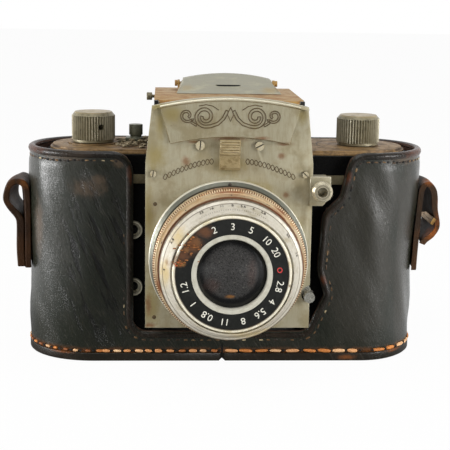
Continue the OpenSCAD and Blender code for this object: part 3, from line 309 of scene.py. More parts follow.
def sewing_thread(name, dark, bright, pale):
    """Waxed linen thread. Each stitch has its own tone, from grimy to freshly bared."""
    mat, tree, shader, place = start(name)
    tone = add(tree, "Attribute", take="Fac", attribute_name="bared")
    fibre = patches(tree, place, 0.35, 0.35, 0.7)
    half_bare = add(tree, "MapRange", {"Value": tone, "From Min": 0.1, "From Max": 0.6})
    all_bare = add(tree, "MapRange", {"Value": tone, "From Min": 0.6, "From Max": 1.0})
    colour = lay_over(tree, dark, bright, half_bare)
    colour = lay_over(tree, colour, pale, all_bare)
    colour = lay_over(tree, colour, dark, fibre, 0.35)
    finish(tree, shader, colour, pile(tree, (fibre, 0.2), (1.0, 0.5)), fibre, 0.06)
    return mat


def hazed_glass():
    """Front glass with fungus haze and dust, painted near-black round the haze as shade for the dark inside
    of the lens.
    """
    mat, tree, shader, place = start("coated_glass_with_haze")
    middle = (-0.4, -57.0, LENS_Z + 0.6)
    off = add(tree, "VectorMath", {0: place, 1: middle}, take="Value", operation="DISTANCE")
    haze = add(tree, "MapRange", {"Value": off, "From Min": 8.3, "From Max": 6.6},
               interpolation_type="SMOOTHSTEP")
    web = patches(tree, place, 0.45, 0.46, 0.6, 6.0, 0.8)
    dust = patches(tree, place, 0.35, 0.6, 0.72, 3.0, 0.7)
    dusty_haze = add(tree, "Math", {0: dust, 1: haze}, operation="MULTIPLY")
    warm = spots(tree, place, on_face(-58, 4, (-5.5, 33.5, 2.6, 2.2), (5.4, 37, 1.4, 4)))
    amber = spots(tree, place, on_face(-58, 4, (-0.5, 30.4, 1.3, 0.5)))
    # The near-black ground outside the haze is painted shade for the dark inside of the lens behind the
    # opaque glass.
    colour = lay_over(tree, "#0a0a0a", "#3b3a39", haze, 0.95)
    colour = lay_over(tree, colour, "#48352f", warm, 0.5)
    colour = lay_over(tree, colour, "#101010", web, 0.75)
    colour = lay_over(tree, colour, "#7d786c", dusty_haze, 0.55)
    colour = lay_over(tree, colour, "#8a5a20", amber, 0.6)
    finish(tree, shader, colour, pile(tree, (dust, 0.3), (1.0, 0.2)), dust, 0.01)
    shader.inputs["Coat Weight"].default_value = 0.15
    shader.inputs["Coat Roughness"].default_value = 0.2
    shader.inputs["Specular IOR Level"].default_value = 0.3
    return mat


# Blasted and chromed steel: an even greenish grey sheen, with brown damp stains along the edges
plate_chrome = old_metal(
    "matt_chromed_front_plate", "#a8a189", "#8b8061", "#6b4522", metal=0.35, rough=0.46, patch=8,
    dulled=0.6, rusted=0.24, drawn=(1, 1, 5), relief_mm=0.03,
    marks=on_face(-37.2, 3, (-12.5, 64.8, 1.3, 1.6), (15, 66.7, 1.2, 1.0), (16.4, 55.4, 1, 1),
                  (-23.2, 22.6, 1.0, 3.2), (-10, 70.6, 2.2, 0.5), (-22.7, 16.4, 1.6, 1))
    + on_face(-38, 3, (0, 71.5, 5.2, 0.9), (9.1, 71.8, 2.4, 0.6), (15.7, 70.2, 2.6, 0.6)),
    stain="#8d7d45",
    stained=on_face(-37, 4, (-23.4, 50, 1.9, 8), (-22.4, 22.5, 2.6, 8), (0, 64, 4.8, 3.6), (-21, 66, 3, 4),
                    (4, 57, 9, 2.6), (20.6, 78.4, 1.6, 2.6))
    + on_face(-38, 4, (-16.6, 78.6, 3.4, 2.6), (-19.8, 75.1, 1.4, 4.5), (-20.8, 80.4, 2.2, 1.2)))
# Chrome on rolled and handled edges: rubbed paler and shinier than the plate, and paler still as a painted
# highlight
plate_edge = old_metal("rubbed_chrome_edge_and_highlight", "#ded8c2", "#b8ae8e", "#7a5a30", metal=0.2, rough=0.3,
                       dulled=0.3)
# Chromed brass that damp leather has tanned all over: dull and blotchy brown
lid_tan = old_metal(
    "chromed_lid_browned_by_damp", "#a38146", "#87581f", "#5c330f", metal=0.15, rough=0.55, patch=4,
    dulled=0.6, rusted=0.4, marks=[((-14.5, 2.2, 82), (2.4, 3, 2)), ((10, -12.6, 82), (3.4, 1.6, 1.5))])
# Chromed plate under years of case dust: matt tan with dark grime in its corners and round the knobs
top_tan = old_metal(
    "chromed_top_plate_under_grime", "#8e7046", "#57432a", "#3c2712", metal=0.15, rough=0.55,
    dulled=0.65, rusted=0.55,
    marks=[((-24.6, -12.3, 65.4), (5, 3, 2)), ((-30, 5, 65.4), (7, 8, 2)), ((-31, -9, 65.4), (3, 3, 2))],
    bands=[((x, 0, 65), OFF_Z, 13.6, 0.35, "#3a2a18", 0.9) for x in (43.4, -40.4)])
# Satin chromed brass: a dusty pale grey with brush lines across, and its slot painted as a dark line of shade
dome_grey = old_metal(
    "dusty_satin_chrome_flap", "#8f8c7a", "#aaa690", "#7d5f36", metal=0.25, rough=0.52, patch=5,
    dulled=0.5, rusted=0.25, drawn=(6, 1, 1), relief_mm=0.06,
    marks=[((-14.6, -2, 84), (0.9, 6, 2)), ((16.4, -4, 83.5), (1.0, 6, 1.6))],
    stain="#9c8656", stained=[((-12, -8, 84), (3, 4, 1.2)), ((14, -8, 83), (3, 4, 1.2))],
    holes=[((1.0, -4.3, 84.2), (4.0, 0.55, 0.8))])
# Nickelled brass, fluted: grimy grey between bright ribs, tan on the tops, with a pale turned foot
knob_nickel = old_metal(
    "grimy_fluted_nickel", "#8b836a", "#5c543e", "#2a2010", metal=0.35, rough=0.4, patch=2, dulled=0.5,
    rusted=0.3, stain="#b59c6c",
    stained=[((WIND_X, 0, 75.6), (9, 9, 0.7)), ((REWIND_X, 0, 75.3), (9, 9, 0.7))],
    bands=[((WIND_X, 0, 70), OFF_Z, 6.95, 0.42, "#bdb49c", 0.85),
           ((REWIND_X, 0, 70), OFF_Z, 6.95, 0.42, "#b3ae9a", 0.85)])
# Turned and anodised aluminium: satin grey, with a bright thin rim that is a painted highlight
flange_grey = old_metal(
    "turned_satin_flange", "#66675c", "#5b5848", "#4a3a22", metal=0.45, patch=5, rusted=0.2,
    bands=[lens_line(23.2, 0.38, "#e2ddcc", 0.95), lens_line(21.8, 0.3, "#3a3020", 0.7)])
# Milled and chromed brass: cream metal that shows through a film of orange rust
focus_rust = old_metal(
    "milled_chrome_with_rust_film", "#c3b394", "#b58854", "#7c4217", metal=0.25, rough=0.46, patch=3.5,
    dulled=0.5, rusted=0.4,
    marks=on_face(-48, 9, (13.5, 52.0, 3.4, 2.2), (-15.6, 44.8, 1.6, 5), (-20.3, 30.4, 1.1, 6),
                  (-12.7, 20.3, 5, 1.6), (20.4, 34, 0.9, 8)) + on_face(-45, 9, (0, 57.8, 7, 1.1)),
    stain="#cfc4ad", stained=[((14, -48, 24), (10, 9, 8)), ((20, -46, 46), (3, 9, 5))],
    bands=[lens_line(20.2, 0.5, "#6f3512", 0.85), lens_line(20.75, 0.22, "#e0c9a4", 0.6)])
# The milled edge of the same ring: pale teeth over rusty notches, 200 of them, coarser than the real ones
focus_teeth = old_metal(
    "milled_chrome_teeth", "#d6c4a2", "#bd925f", "#7c4217", metal=0.3, rough=0.4, patch=4, dulled=0.5,
    rusted=0.3, teeth=200)
# Satin chromed aluminium: almost white from above, with yellow smears at the left
scale_silver = old_metal(
    "satin_chromed_scale_ring", "#c8c2b4", "#a59b82", "#7a5426", metal=0.25, rough=0.5, patch=4,
    dulled=0.45, rusted=0.25, marks=on_face(-55, 3, (-17, 39.5, 1.3, 1.1), (17, 37.1, 0.5, 0.5)),
    stain="#b99f5c", stained=on_face(-55, 5, (-18.4, 36.5, 2, 4), (-14, 46, 3, 3), (6, 19, 8, 2)),
    bands=[lens_line(20.1, 0.35, "#4a3a26", 0.85), lens_line(19.1, 0.15, "#3a2c1c", 0.7)])
# Chromed brass barrel: its lip has turned beige and keeps a soft shine
barrel_beige = old_metal(
    "yellowed_chrome_barrel_lip", "#efe9d6", "#cabd97", "#6c4820", metal=0.25, rough=0.46, dulled=0.5,
    rusted=0.3, marks=on_face(-57, 3, (-15.6, 41, 1.7, 2.2), (15.9, 33.6, 0.4, 0.5)),
    bands=[lens_line(15.7, 0.22, "#4d3d28", 0.8)])
# Nickel plate on turned steel: warm and fairly bright
bright_nickel = old_metal("bright_nickel_plate", "#c6c0ae", "#96895f", "#5f4526", metal=0.6, rough=0.32,
                          patch=2, dulled=0.35, rusted=0.12)
# The same nickel on the plate's screws, whose slots are painted dark as shade
screw_nickel = old_metal("nickel_screws_with_shaded_slots", "#c9bfa3", "#9c8757", "#5f4526", metal=0.4,
                         rough=0.34, patch=2, rusted=0.2, holes=[((0, -36.55, 65), (80, 1.3, 80))])
# Turned nickel button: bright, with the mouth of its taper painted black as shade
release_nickel = old_metal("nickel_release_button", "#bdb59d", "#9a8f72", "#5f4526", metal=0.55, rough=0.34,
                           patch=2, holes=[((26.4, -42.4, 57.0), (1.5, 3.5, 1.5))],
                           bands=[((26.4, 0, 57.0), OFF_Y, 1.9, 0.35, "#4f4838", 0.55)])
# Turned nickel sockets: pale rings round holes painted black as shade
socket_nickel = old_metal("nickel_socket_rings", "#b9b49f", "#7d755c", "#4f3a20", rough=0.4, patch=2,
                          rusted=0.15, holes=[((-28, -18, z), (1.55, 3, 1.55)) for z in (23.0, 40.9)],
                          bands=[((-28, 0, z), OFF_Y, 2.1, 0.3, "#3a352a", 0.6) for z in (23.0, 40.9)])
# Ground steel pin: cool grey and shiny
catch_steel = old_metal("plain_steel_pin", "#bdbcb2", "#8f8d84", "#5c4c38", metal=0.75, rough=0.3, patch=2,
                        rusted=0.12)
# Machined steel inside the camera: dull grey
steel = old_metal("plain_steel", "#8e8b83", "#75685a", "#5a3d22", metal=0.85, rough=0.38)
# Die-cast alloy, stove-blackened: dark and matt
cast_grey = old_metal("die_cast_alloy", "#24221e", "#1b1814", "#15110b", metal=0.1, rough=0.75)
# Drawn brass wire, tarnished: dull gold with brown blotches
brass = old_metal("old_brass_wire", "#a8834a", "#6f4e28", "#3f2a14", metal=0.7, rough=0.38, patch=2,
                  dulled=0.5, rusted=0.25)
# Nickelled slide worn down to its tan ground
slide_tan = old_metal("tanned_nickel_slide", "#9b8a64", "#74603a", "#54371a", metal=0.3, rough=0.44,
                      patch=1.8, dulled=0.55, rusted=0.25)
# Nickelled dial under verdigris: dark grey green with two bare pale spots
selector_dark = old_metal("verdigris_on_nickel_dial", "#6f6f5c", "#4d5044", "#3a3020", metal=0.4, rough=0.45,
                          patch=1.5, dulled=0.5, rusted=0.3, stain="#c6bda0",
                          stained=[((-30.3, -0.7, 70), (0.8, 1.2, 1.6)), ((-27, 3, 70.6), (1.2, 1, 0.8))])
# Pressed trim strips: stained grey brown
strip_grey = old_metal("stained_trim_strip", "#6d6449", "#4c4129", "#332510", metal=0.25, rough=0.5, patch=4,
                       dulled=0.5, rusted=0.25)
# Rust and dirt that flake off the plate: rough and mottled
crust = old_metal("flaking_rust_and_dirt", "#8d8064", "#5a482c", "#2f1d0c", metal=0.1, rough=0.7, patch=0.8,
                  dulled=0.6, rusted=0.6, relief_mm=0.2)
# The same on the black ring: orange brown, with one red patch
rust_crust = old_metal("orange_rust_crust", "#8f5a2a", "#6b3d1c", "#2f1a0a", metal=0.0, rough=0.85,
                       patch=0.8, dulled=0.5, rusted=0.5, relief_mm=0.15, stain="#c8441e",
                       stained=on_face(-58, 3, (-14.9, 39.6, 1.2, 0.8)))
# Anodised aluminium ring: matt black, eaten brown at the upper left
ring_black = old_metal("black_anodised_name_ring", "#0e0f0c", "#1c1d18", "#5e3718", metal=0.0, rough=0.5,
                       dulled=0.3, rusted=0.0,
                       marks=on_face(-58, 3, (-7.6, 48.6, 2.8, 1.7), (-11.1, 45.2, 3.0, 2.9),
                                     (-13.6, 42.2, 2.2, 1.9)),
                       stain="#9c6a30", stained=on_face(-58, 3, (-10.4, 45.4, 1.7, 1.8),
                                                        (-14.4, 39.6, 1.5, 0.9), (-12.6, 43.6, 1.0, 1.0)))

# Vegetable-tanned cowhide, dyed black and waxed: a soft sheen, browner at the ends and where it is rubbed
case_black = case_leather(
    "waxed_black_case_leather", "#171b11", "#26231a", tan="#4a3b2a", wall=True, gloss=0.3, level=0.35,
    wax=0.4,
    marks=[((-41.5, -20.5, 54.2), (5.6, 5, 3.0)), ((-38.6, -20.5, 56.6), (2.6, 5, 1.6)),
           ((-32, -20.5, 61.9), (2.2, 4, 1.6)), ((-57.3, -13, 41.3), (1.6, 7, 9)),
           ((-50, -18, 63.6), (8, 8, 1.2)), ((55, -12, 63), (6, 10, 1.6)),
           ((31.6, -20.5, 34.8), (0.7, 3, 0.8))],
    # Paler grey over the right flap and down its right end: a dusty bloom and painted sheen.
    band=[((56.0, -13.5, 33), (3.0, 9, 34)), ((41, -20.5, 33), (13, 6, 28))])
# Thin leather rolled over the edge: handled brown where it bends
binding_brown = case_leather(
    "rolled_binding_leather", "#1b1915", "#33261a", tan="#4f2a17", gloss=0.28,
    marks=[((-57, -4, 65), (6, 12, 3)), ((58, -6, 65), (7, 12, 3)), ((-28, -20, 58), (2, 3, 3)),
           ((36, -20, 58), (2, 3, 2.4)), ((30, -20, 26), (2, 3, 1.5))])
# Thick sole leather: its cut edge is black brown, with a few bare patches
sole_brown = case_leather(
    "rubbed_sole_edge", "#1d1a14", "#2c2218", tan="#6e3f1b", gloss=0.38,
    marks=[((38.6, -20.5, 1.2), (2.6, 4, 0.8)), ((54, -16, 2.2), (3, 5, 0.5)),
           ((-50, -17, 2.4), (4, 5, 0.4))])
# Strap leather, oiled: dark umber and almost matt
strap_umber = case_leather(
    "umber_strap_leather", "#28180b", "#472a10", tan="#6a3f18", gloss=0.5, level=0.15,
    marks=[((-66, 0, 50), (2.6, 7, 5)), ((-62, -6, 54), (2, 3, 2.5))])
# The other strap, whose loop is rubbed down to tan
strap_tan = case_leather(
    "tan_strap_leather", "#2c2015", "#5a3718", tan="#9a541c", gloss=0.5, level=0.15,
    marks=[((69, 0, 45), (2.0, 8, 7)), ((66, -5, 39), (3, 4, 3)), ((65, -4, 54.5), (2.5, 4, 1.5))])
# Flesh side of the hide: brown, fluffy and without shine
suede_brown = even("brown_suede_lining", "#4c3022", "#2c1a11", rough=0.85, amount=0.6, size=2.0,
                   relief_mm=0.1)
# Cut edge of the hide: bare brown fibre
edge_brown = even("raw_leather_edge", "#4c3626", "#2a1f16", rough=0.7, amount=0.7, size=1.2,
                  relief_mm=0.08)
# Waxed linen thread: mostly grimy along the edges, bared to orange and cream along the sole
edge_thread = sewing_thread("grimy_waxed_thread", "#2a1c10", "#7c5a32", "#c3b088")
welt_thread = sewing_thread("bared_linen_thread", "#7a3f12", "#cf8036", "#ecc596")
# Awl holes between the stitches: black, painted shade in the holes
hole_dark = even("needle_hole", "#080706", "#15110d", rough=0.9)
# Grained leatherette: a black that gives back little light, made deeper than the real covering as painted
# shade
leatherette = even("grained_black_leatherette", "#030303", "#14120d", rough=0.8, size=0.7, relief_mm=0.1,
                   level=0.1)
# Baked lacquer: smooth black with a low sheen
lacquer = even("black_baked_lacquer", "#121211", "#2a2926", rough=0.4, size=2.0)
# Turned retaining ring: an even pale satin
pale_ring = even("pale_satin_retaining_ring", "#c3c0b2", "#a29c88", metal=0.15, rough=0.42, amount=0.5,
                 size=2.0)
# Paint in the engraved figures and marks: flat white, black and red
paint_white = even("engraving_filled_with_white", "#dcdacd", "#9a958a")
paint_black = even("engraving_filled_with_black", "#2c2620", "#5b4a33", rough=0.6)
paint_red = even("engraving_filled_with_red", "#c23a36", "#7b2420")
# Painted shade along the pressed steps and corners, and dirt in the engraved lines: dull brown
pressed_edge_shade = even("brown_painted_shade_in_pressed_corners", "#6e5a34", "#8b7a50", rough=0.8, amount=0.8, size=3.0)
engraved_brown = even("engraved_line_with_brown_grime", "#4a3a1f", "#6e5a30", rough=0.7)
# Front-silvered glass: a clear mirror
mirror_silver = even("front_silvered_glass", "#dfe3e4", "#b0b0aa", metal=1.0, rough=0.12, amount=0.3,
                     size=4.0, relief_mm=0.002)
# Ground glass: milky and matt
ground_glass = even("ground_glass_screen", "#b9bfb8", "#8f948e", rough=0.55, size=1.0)
# Painted tinplate: grey green with a soft gloss
film_tin = even("painted_cassette_tin", "#6f7f6a", "#3d4a38", metal=0.2, rough=0.45, amount=0.4, size=3.0)
# Pulp board: plain brown and without shine
board_brown = even("pulp_board", "#5b3f29", "#38261a", rough=0.9, size=2.0)
lens_glass = hazed_glass()

FINISHED = (
    (steel, "film_gate finder_pins mirror_pin pressure_spring wind_shaft film_sprocket rewind_shaft"
            " release_spring magnifier_ring"),
    (lacquer, "finder_frame pressure_plate takeup_spool mirror_frame front_cell iris rear_leaf"
              " side_leaf_left side_leaf_right"),
    (lens_glass, "condenser front_element rear_element magnifier_lens"),
    (bright_nickel, "screw_plate case_screw"), (brass, "strap_ring_right tripod_bush"),
    (leatherette, "body_covering back_cover"), (plate_chrome, "front_plate release_housing"),
    (knob_nickel, "wind_knob rewind_knob hood_latch"), (top_tan, "top_plate counter_dial"),
    (cast_grey, "body_casting"), (board_brown, "case_board"), (sole_brown, "case_sole"),
    (strip_grey, "trim_strips"), (screw_nickel, "plate_screws"), (socket_nickel, "flash_sockets"),
    (ground_glass, "focusing_screen"), (flange_grey, "lens_mount"), (crust, "speed_disc"),
    (film_tin, "film_cassette"), (selector_dark, "speed_selector"), (release_nickel, "release_button"),
    (mirror_silver, "mirror_glass"), (slide_tan, "finder_catch"), (catch_steel, "lens_catch"),
    (focus_rust, "focus_ring"), (barrel_beige, "lens_head"), (ring_black, "name_ring"),
    (pale_ring, "retaining_ring"), (scale_silver, "aperture_ring"), (lid_tan, "hood_lid"),
    (dome_grey, "magnifier_dome"))
FINISH = {node_name: coat for coat, names in FINISHED for node_name in names.split()}
body_of = {n: b for b, ns in frame["record"]["behaviour"]["bodies"].items() for n in ns}
for node_name, coat in FINISH.items():
    cad = frame["nodes"][node_name]
    if not cad.material_slots:
        cad.data.materials.append(coat)
    for holder in cad.material_slots:
        holder.material = coat


def piece_from(bm, name, mats, body, smooth=40, flip=True):
    """Makes a finished object of a bmesh and lets it ride on a body."""
    if flip:
        bmesh.ops.recalc_face_normals(bm, faces=bm.faces)
    mesh = bpy.data.meshes.new(name)
    bm.to_mesh(mesh)
    bm.free()
    for mat in mats:
        mesh.materials.append(mat)
    mesh.shade_smooth()
    mesh.set_sharp_from_angle(angle=math.radians(smooth))
    piece = bpy.data.objects.new(name, mesh)
    bpy.context.scene.collection.objects.link(piece)
    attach(piece, body)
    return piece


def merged_copy(node_name, flat_angle):
    """A bmesh of a CAD node, merged, with faces that lie flat to within an angle joined."""
    bm = bmesh.new()
    bm.from_mesh(frame["nodes"][node_name].data)
    bmesh.ops.remove_doubles(bm, verts=bm.verts, dist=2e-6)
    bmesh.ops.dissolve_limit(bm, angle_limit=math.radians(flat_angle), verts=bm.verts, edges=bm.edges)
    return bm


def round_edges(bm, width, sharper_than, segments):
    """Rounds the edges that are sharper than an angle in degrees, and gives the new faces."""
    sharp = [e for e in bm.edges if e.is_manifold and e.calc_face_angle(0) > math.radians(sharper_than)]
    made = bmesh.ops.bevel(bm, geom=sharp, offset=width * MM, segments=segments, profile=0.5, affect="EDGES",
                           material=-1, clamp_overlap=True)
    return made["faces"]


def slit(bm, at, across, reach):
    """Cuts an edge line into a mesh along the plane through a point, so that it can bend there."""
    bmesh.ops.bisect_plane(bm, geom=bm.verts[:] + bm.edges[:] + bm.faces[:], plane_co=at, plane_no=across,
                           dist=reach)


def shaped(x, y, z):
    """Matrix that stretches a shape of one unit to sizes in millimetres."""
    return Matrix.Diagonal((x * MM, y * MM, z * MM, 1))


def bead(bm, meridians, rings, place, blunt=1.0):
    """A ball of one unit's radius, blunted along x and put in place by a matrix. Gives its vertices."""
    made = bmesh.ops.create_uvsphere(bm, u_segments=meridians, v_segments=rings, radius=1.0)
    for v in made["verts"]:
        v.co.x = math.copysign(abs(v.co.x) ** blunt, v.co.x)
    bmesh.ops.transform(bm, matrix=place, verts=made["verts"])
    return made["verts"]


def take_mesh(bm, curve, place=None):
    """Turns a text or a curve into a mesh, moves it to its place and adds it to a bmesh."""
    holder = bpy.data.objects.new("pattern", curve)
    bpy.context.scene.collection.objects.link(holder)
    bpy.context.view_layer.update()
    mesh = bpy.data.meshes.new_from_object(holder.evaluated_get(bpy.context.evaluated_depsgraph_get()))
    if place:
        mesh.transform(place)
    bm.from_mesh(mesh)
    bpy.data.meshes.remove(mesh)
    bpy.data.objects.remove(holder)
    bpy.data.curves.remove(curve)


def cord_of(bm, points, radius, closed=False, flat=2):
    """A round bead of a radius in millimetres along points in metres."""
    curve = bpy.data.curves.new("cord", "CURVE")
    curve.dimensions = "3D"
    curve.bevel_depth = radius * MM
    curve.bevel_resolution = flat
    curve.use_fill_caps = not closed
    spline = curve.splines.new("POLY")
    spline.points.add(len(points) - 1)
    for knot, p in zip(spline.points, points):
        knot.co = (p[0], p[1], p[2], 1)
    spline.use_cyclic_u = closed
    take_mesh(bm, curve)


def soften(node_name, width, worn=None):
    """Stands for a CAD node with its sharp edges rounded, and a paler coat on them where one is given: rubbed
    wear and a painted highlight.
    """
    bm = merged_copy(node_name, 0.6)
    for face in bm.faces:
        face.material_index = 0
    rounded_faces = round_edges(bm, width, 35, 2)
    coats = [FINISH[node_name]]
    if worn:
        # The rounded faces take the paler coat: rubbed wear and a painted highlight.
        coats.append(worn)
        for face in rounded_faces:
            face.material_index = 1
    piece = piece_from(bm, node_name + "_rounded", coats, body_of[node_name], flip=False)
    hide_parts(node_name)


for softened, width_mm, wear_and_highlight_coat in (
        ("front_plate", 0.28, plate_edge), ("hood_lid", 0.3, None), ("top_plate", 0.25, None),
        ("finder_catch", 0.12, bright_nickel), ("release_housing", 0.3, plate_edge),
        ("magnifier_dome", 0.2, None), ("speed_selector", 0.2, None), ("hood_latch", 0.2, None),
        ("trim_strips", 0.1, None)):
    soften(softened, width_mm, wear_and_highlight_coat)


def button_coil():
    """The wire spring behind the release button, which the button squeezes against the barrel."""
    front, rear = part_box("release_spring")
    middle = (front + rear) / 2
    wire = 0.17 * MM
    coil_r = (rear.x - front.x) / 2 - wire
    length = rear.y - front.y
    turns, steps = 7, 16
    points = []
    for i in range(turns * steps + 1):
        angle = 2 * math.pi * i / steps
        along = front.y + wire + (length - 2 * wire) * i / (turns * steps)
        points.append((middle.x + coil_r * math.cos(angle), along, middle.z + coil_r * math.sin(angle)))
    bm = bmesh.new()
    cord_of(bm, points, wire / MM)
    coil = piece_from(bm, "button_coil", [steel], "release", smooth=80)
    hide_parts("release_spring")
    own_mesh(coil)


button_coil()


def smooth_step(value):
    """Eases from 0 to 1."""
    value = max(0.0, min(1.0, value))
    return value * value * (3 - 2 * value)


def lean(x, z):
    """How far the slack ends of the case sag sideways at a place, in millimetres."""
    left = smooth_step((-35 - x) / 23) * (0.6 + 0.4 * (1 - z / 65))
    right = smooth_step((x - 36) / 26) * (0.6 + 1.6 * smooth_step((64 - z) / 45))
    return -left - right


def wall_point(s, z, out=0.0):
    """Place on the case wall: s runs round it from the front middle, out stands off it."""
    r = CASE_ROUND + out
    side = 1 if s >= 0 else -1
    t = abs(s)
    if t <= CASE_STRAIGHT:
        x, y = t, -r
    elif t <= CASE_STRAIGHT + math.pi * CASE_ROUND:
        turn = (t - CASE_STRAIGHT) / CASE_ROUND
        x, y = CASE_STRAIGHT + r * math.sin(turn), -r * math.cos(turn)
    else:
        x, y = SEAM_HALF - t, r
    x = CASE_MID + side * x
    return Vector(((x + lean(x, z)) * MM, y * MM, z * MM))


def arc_corner(a, b, c, r, steps=6):
    """Points that round the corner b between a and c."""
    a, b, c = Vector(a), Vector(b), Vector(c)
    u, v = (a - b).normalized(), (c - b).normalized()
    half = u.angle(v) / 2
    middle = b + (u + v).normalized() * (r / math.sin(half))
    first = b + u * (r / math.tan(half)) - middle
    turn = first.angle_signed(b + v * (r / math.tan(half)) - middle)
    return [middle + Matrix.Rotation(-turn * i / steps, 2) @ first for i in range(steps + 1)]


def rounded(corners):
    """Open outline through corners of x, z and radius."""
    points = [Vector(corners[0][:2])]
    for before, here, after in zip(corners, corners[1:], corners[2:]):
        points += arc_corner(before[:2], here[:2], after[:2], here[2])
    return points + [Vector(corners[-1][:2])]


def stepped(points, step):
    """The same path with a point at least every so many millimetres."""
    fuller = [points[0]]
    for a, b in zip(points, points[1:]):
        count = max(1, math.ceil((b - a).length / step))
        fuller += [a + (b - a) * i / count for i in range(1, count + 1)]
    return fuller


def level_line(first_s, last_s, z):
    """A path round the wall at one height."""
    return [Vector((first_s, z)), Vector((last_s, z))]


def inset_path(points, gap):
    """The same open path moved sideways, to the right of its direction."""
    moved = []
    for i, p in enumerate(points):
        before = points[max(0, i - 1)]
        after = points[min(len(points) - 1, i + 1)]
        way = (after - before).normalized()
        moved.append(p + Vector((way.y, -way.x)) * gap)
    return moved


# Edge of the case front, from the left rim down, across and up the scalloped right side
CUT = rounded([(-48, 65.3, 0), (-28.1, 65.3, 6.5), (-28.1, 9.4, 4.0), (25.6, 9.4, 3.0), (30.8, 21.2, 1.6),
               (28.4, 29.0, 8), (29.6, 46.7, 6), (34.8, 51.8, 3), (37.9, 65.3, 5.4), (51, 65.3, 0)])
CUT = [Vector((p.x - CASE_MID, p.y)) for p in CUT]


def rim_gap(s, z):
    """Distance in millimetres from a point of the wall to its nearest free edge."""
    least = 40.0
    for a, b in zip(CUT, CUT[1:]):
        ab = b - a
        share = max(0.0, min(1.0, (Vector((s, z)) - a).dot(ab) / ab.length_squared))
        least = min(least, (a + ab * share - Vector((s, z))).length)
    if s < CUT[0].x or s > CUT[-1].x:
        least = min(least, CASE_TOP - z)
    return least


def wall_relief(s, z):
    """How far the slack leather stands off its true place, with a groove under the stitches."""
    gap = rim_gap(s, z)
    along = s * 0.92 + z * 0.38
    across = z * 0.92 - s * 0.38
    crease = noise.noise(Vector((along * 0.2, across * 0.035, 3.1)))
    bulge = noise.noise(Vector((s * 0.045, z * 0.045, 9)))
    calm = smooth_step((z - 3) / 12) * smooth_step(gap / 9)
    groove = 0.35 * math.exp(-((gap - STITCH_INSET) / 0.8) ** 2)
    return (crease * 0.55 + bulge * 0.5) * calm - 0.25 - groove


def case_wall():
    """The upright leather, cut as one flat sheet, bulged and bent round the camera."""
    top = CASE_TOP - 0.4
    bm = bmesh.new()
    ring = [Vector((-SEAM_HALF, WALL_FOOT)), Vector((SEAM_HALF, WALL_FOOT)), Vector((SEAM_HALF, top))]
    ring += [Vector((p.x, min(p.y, top))) for p in reversed(CUT)] + [Vector((-SEAM_HALF, top))]
    bm.faces.new([bm.verts.new((p.x, p.y, 0)) for p in ring])
    columns, rows = 170, 40
    for i in range(1, columns):
        slit(bm, (-SEAM_HALF + 2 * SEAM_HALF * i / columns, 0, 0), (1, 0, 0), 0.02)
    for i in range(1, rows):
        slit(bm, (0, WALL_FOOT + (CASE_TOP - WALL_FOOT) * i / rows, 0), (0, 1, 0), 0.02)
    for v in bm.verts:
        s, z = v.co.x, v.co.y
        v.co = wall_point(s, z, wall_relief(s, z))
    bmesh.ops.remove_doubles(bm, verts=bm.verts, dist=1e-5)
    skins = [case_black, suede_brown, edge_brown]
    piece = piece_from(bm, "case_wall", skins, "case", smooth=60)
    thick = piece.modifiers.new("thickness", "SOLIDIFY")
    thick.thickness = LEATHER * MM
    thick.offset = -1
    thick.material_offset = 1
    thick.material_offset_rim = 2
    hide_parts("case_shell")


case_wall()


def case_binding():
    """The rolled binding along the cut front and all round the rim."""
    front = stepped(inset_path(CUT, BINDING_INSET), 1.5)
    back = stepped([front[-1], Vector((2 * SEAM_HALF + front[0].x, front[0].y))], 1.5)[1:-1]
    loop = []
    for p in front + back:
        s = p.x if p.x <= SEAM_HALF else p.x - 2 * SEAM_HALF
        swell = 0.12 * noise.noise(Vector((p.x * 0.25, p.y * 0.25, 5)))
        loop.append(wall_point(s, min(p.y, CASE_TOP - BINDING_INSET), swell - BINDING_INSET))
    bm = bmesh.new()
    cord_of(bm, loop, BINDING_R, closed=True, flat=3)
    piece_from(bm, "case_binding", [binding_brown], "case", smooth=80)


case_binding()


def sagging_copy(node_name, name, width, notch=False):
    """A case node with rounded edges that follows the sag of the wall, and has a notch in front if asked."""
    bm = merged_copy(node_name, 0.5)
    round_edges(bm, width, 57.3, 3)
    bends = list(range(-58, -34, 4)) + list(range(36, 62, 4)) + ([-1.5, -0.5, 0.5] if notch else [])
    for x in bends:
        slit(bm, (x * MM, 0, 0), (1, 0, 0), 1e-6)
    for v in bm.verts:
        x, y, z = v.co / MM
        v.co.x += lean(x, z) * MM
        if notch and abs(x + 0.5) < 0.1 and y < -19:
            v.co.y += 1.5 * MM
            v.co.z += 0.5 * MM * (1 - z / 2.6)
    piece = piece_from(bm, name, [FINISH[node_name]], "case", flip=False)
    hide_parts(node_name)


sagging_copy("case_sole", "case_sole_rounded", 0.7, notch=True)
sagging_copy("case_board", "case_board_inside", 0.3)


def seat_on_wall(s, z, way, out):
    """Place on the wall with the directions along a way in it, across it and out of it."""
    here = wall_point(s, z, out)
    outward = (wall_point(s, z, 1.0) - wall_point(s, z, 0.0)).normalized()
    run = wall_point(s + way.x * 0.1, z + way.y * 0.1, out) - here
    run = (run - outward * run.dot(outward)).normalized()
    return here, run, outward.cross(run), outward


def axes_at(here, run, side, outward):
    """Matrix that puts x, y and z along three directions at a place."""
    return Matrix.Translation(here) @ Matrix((run, side, outward)).transposed().to_4x4()


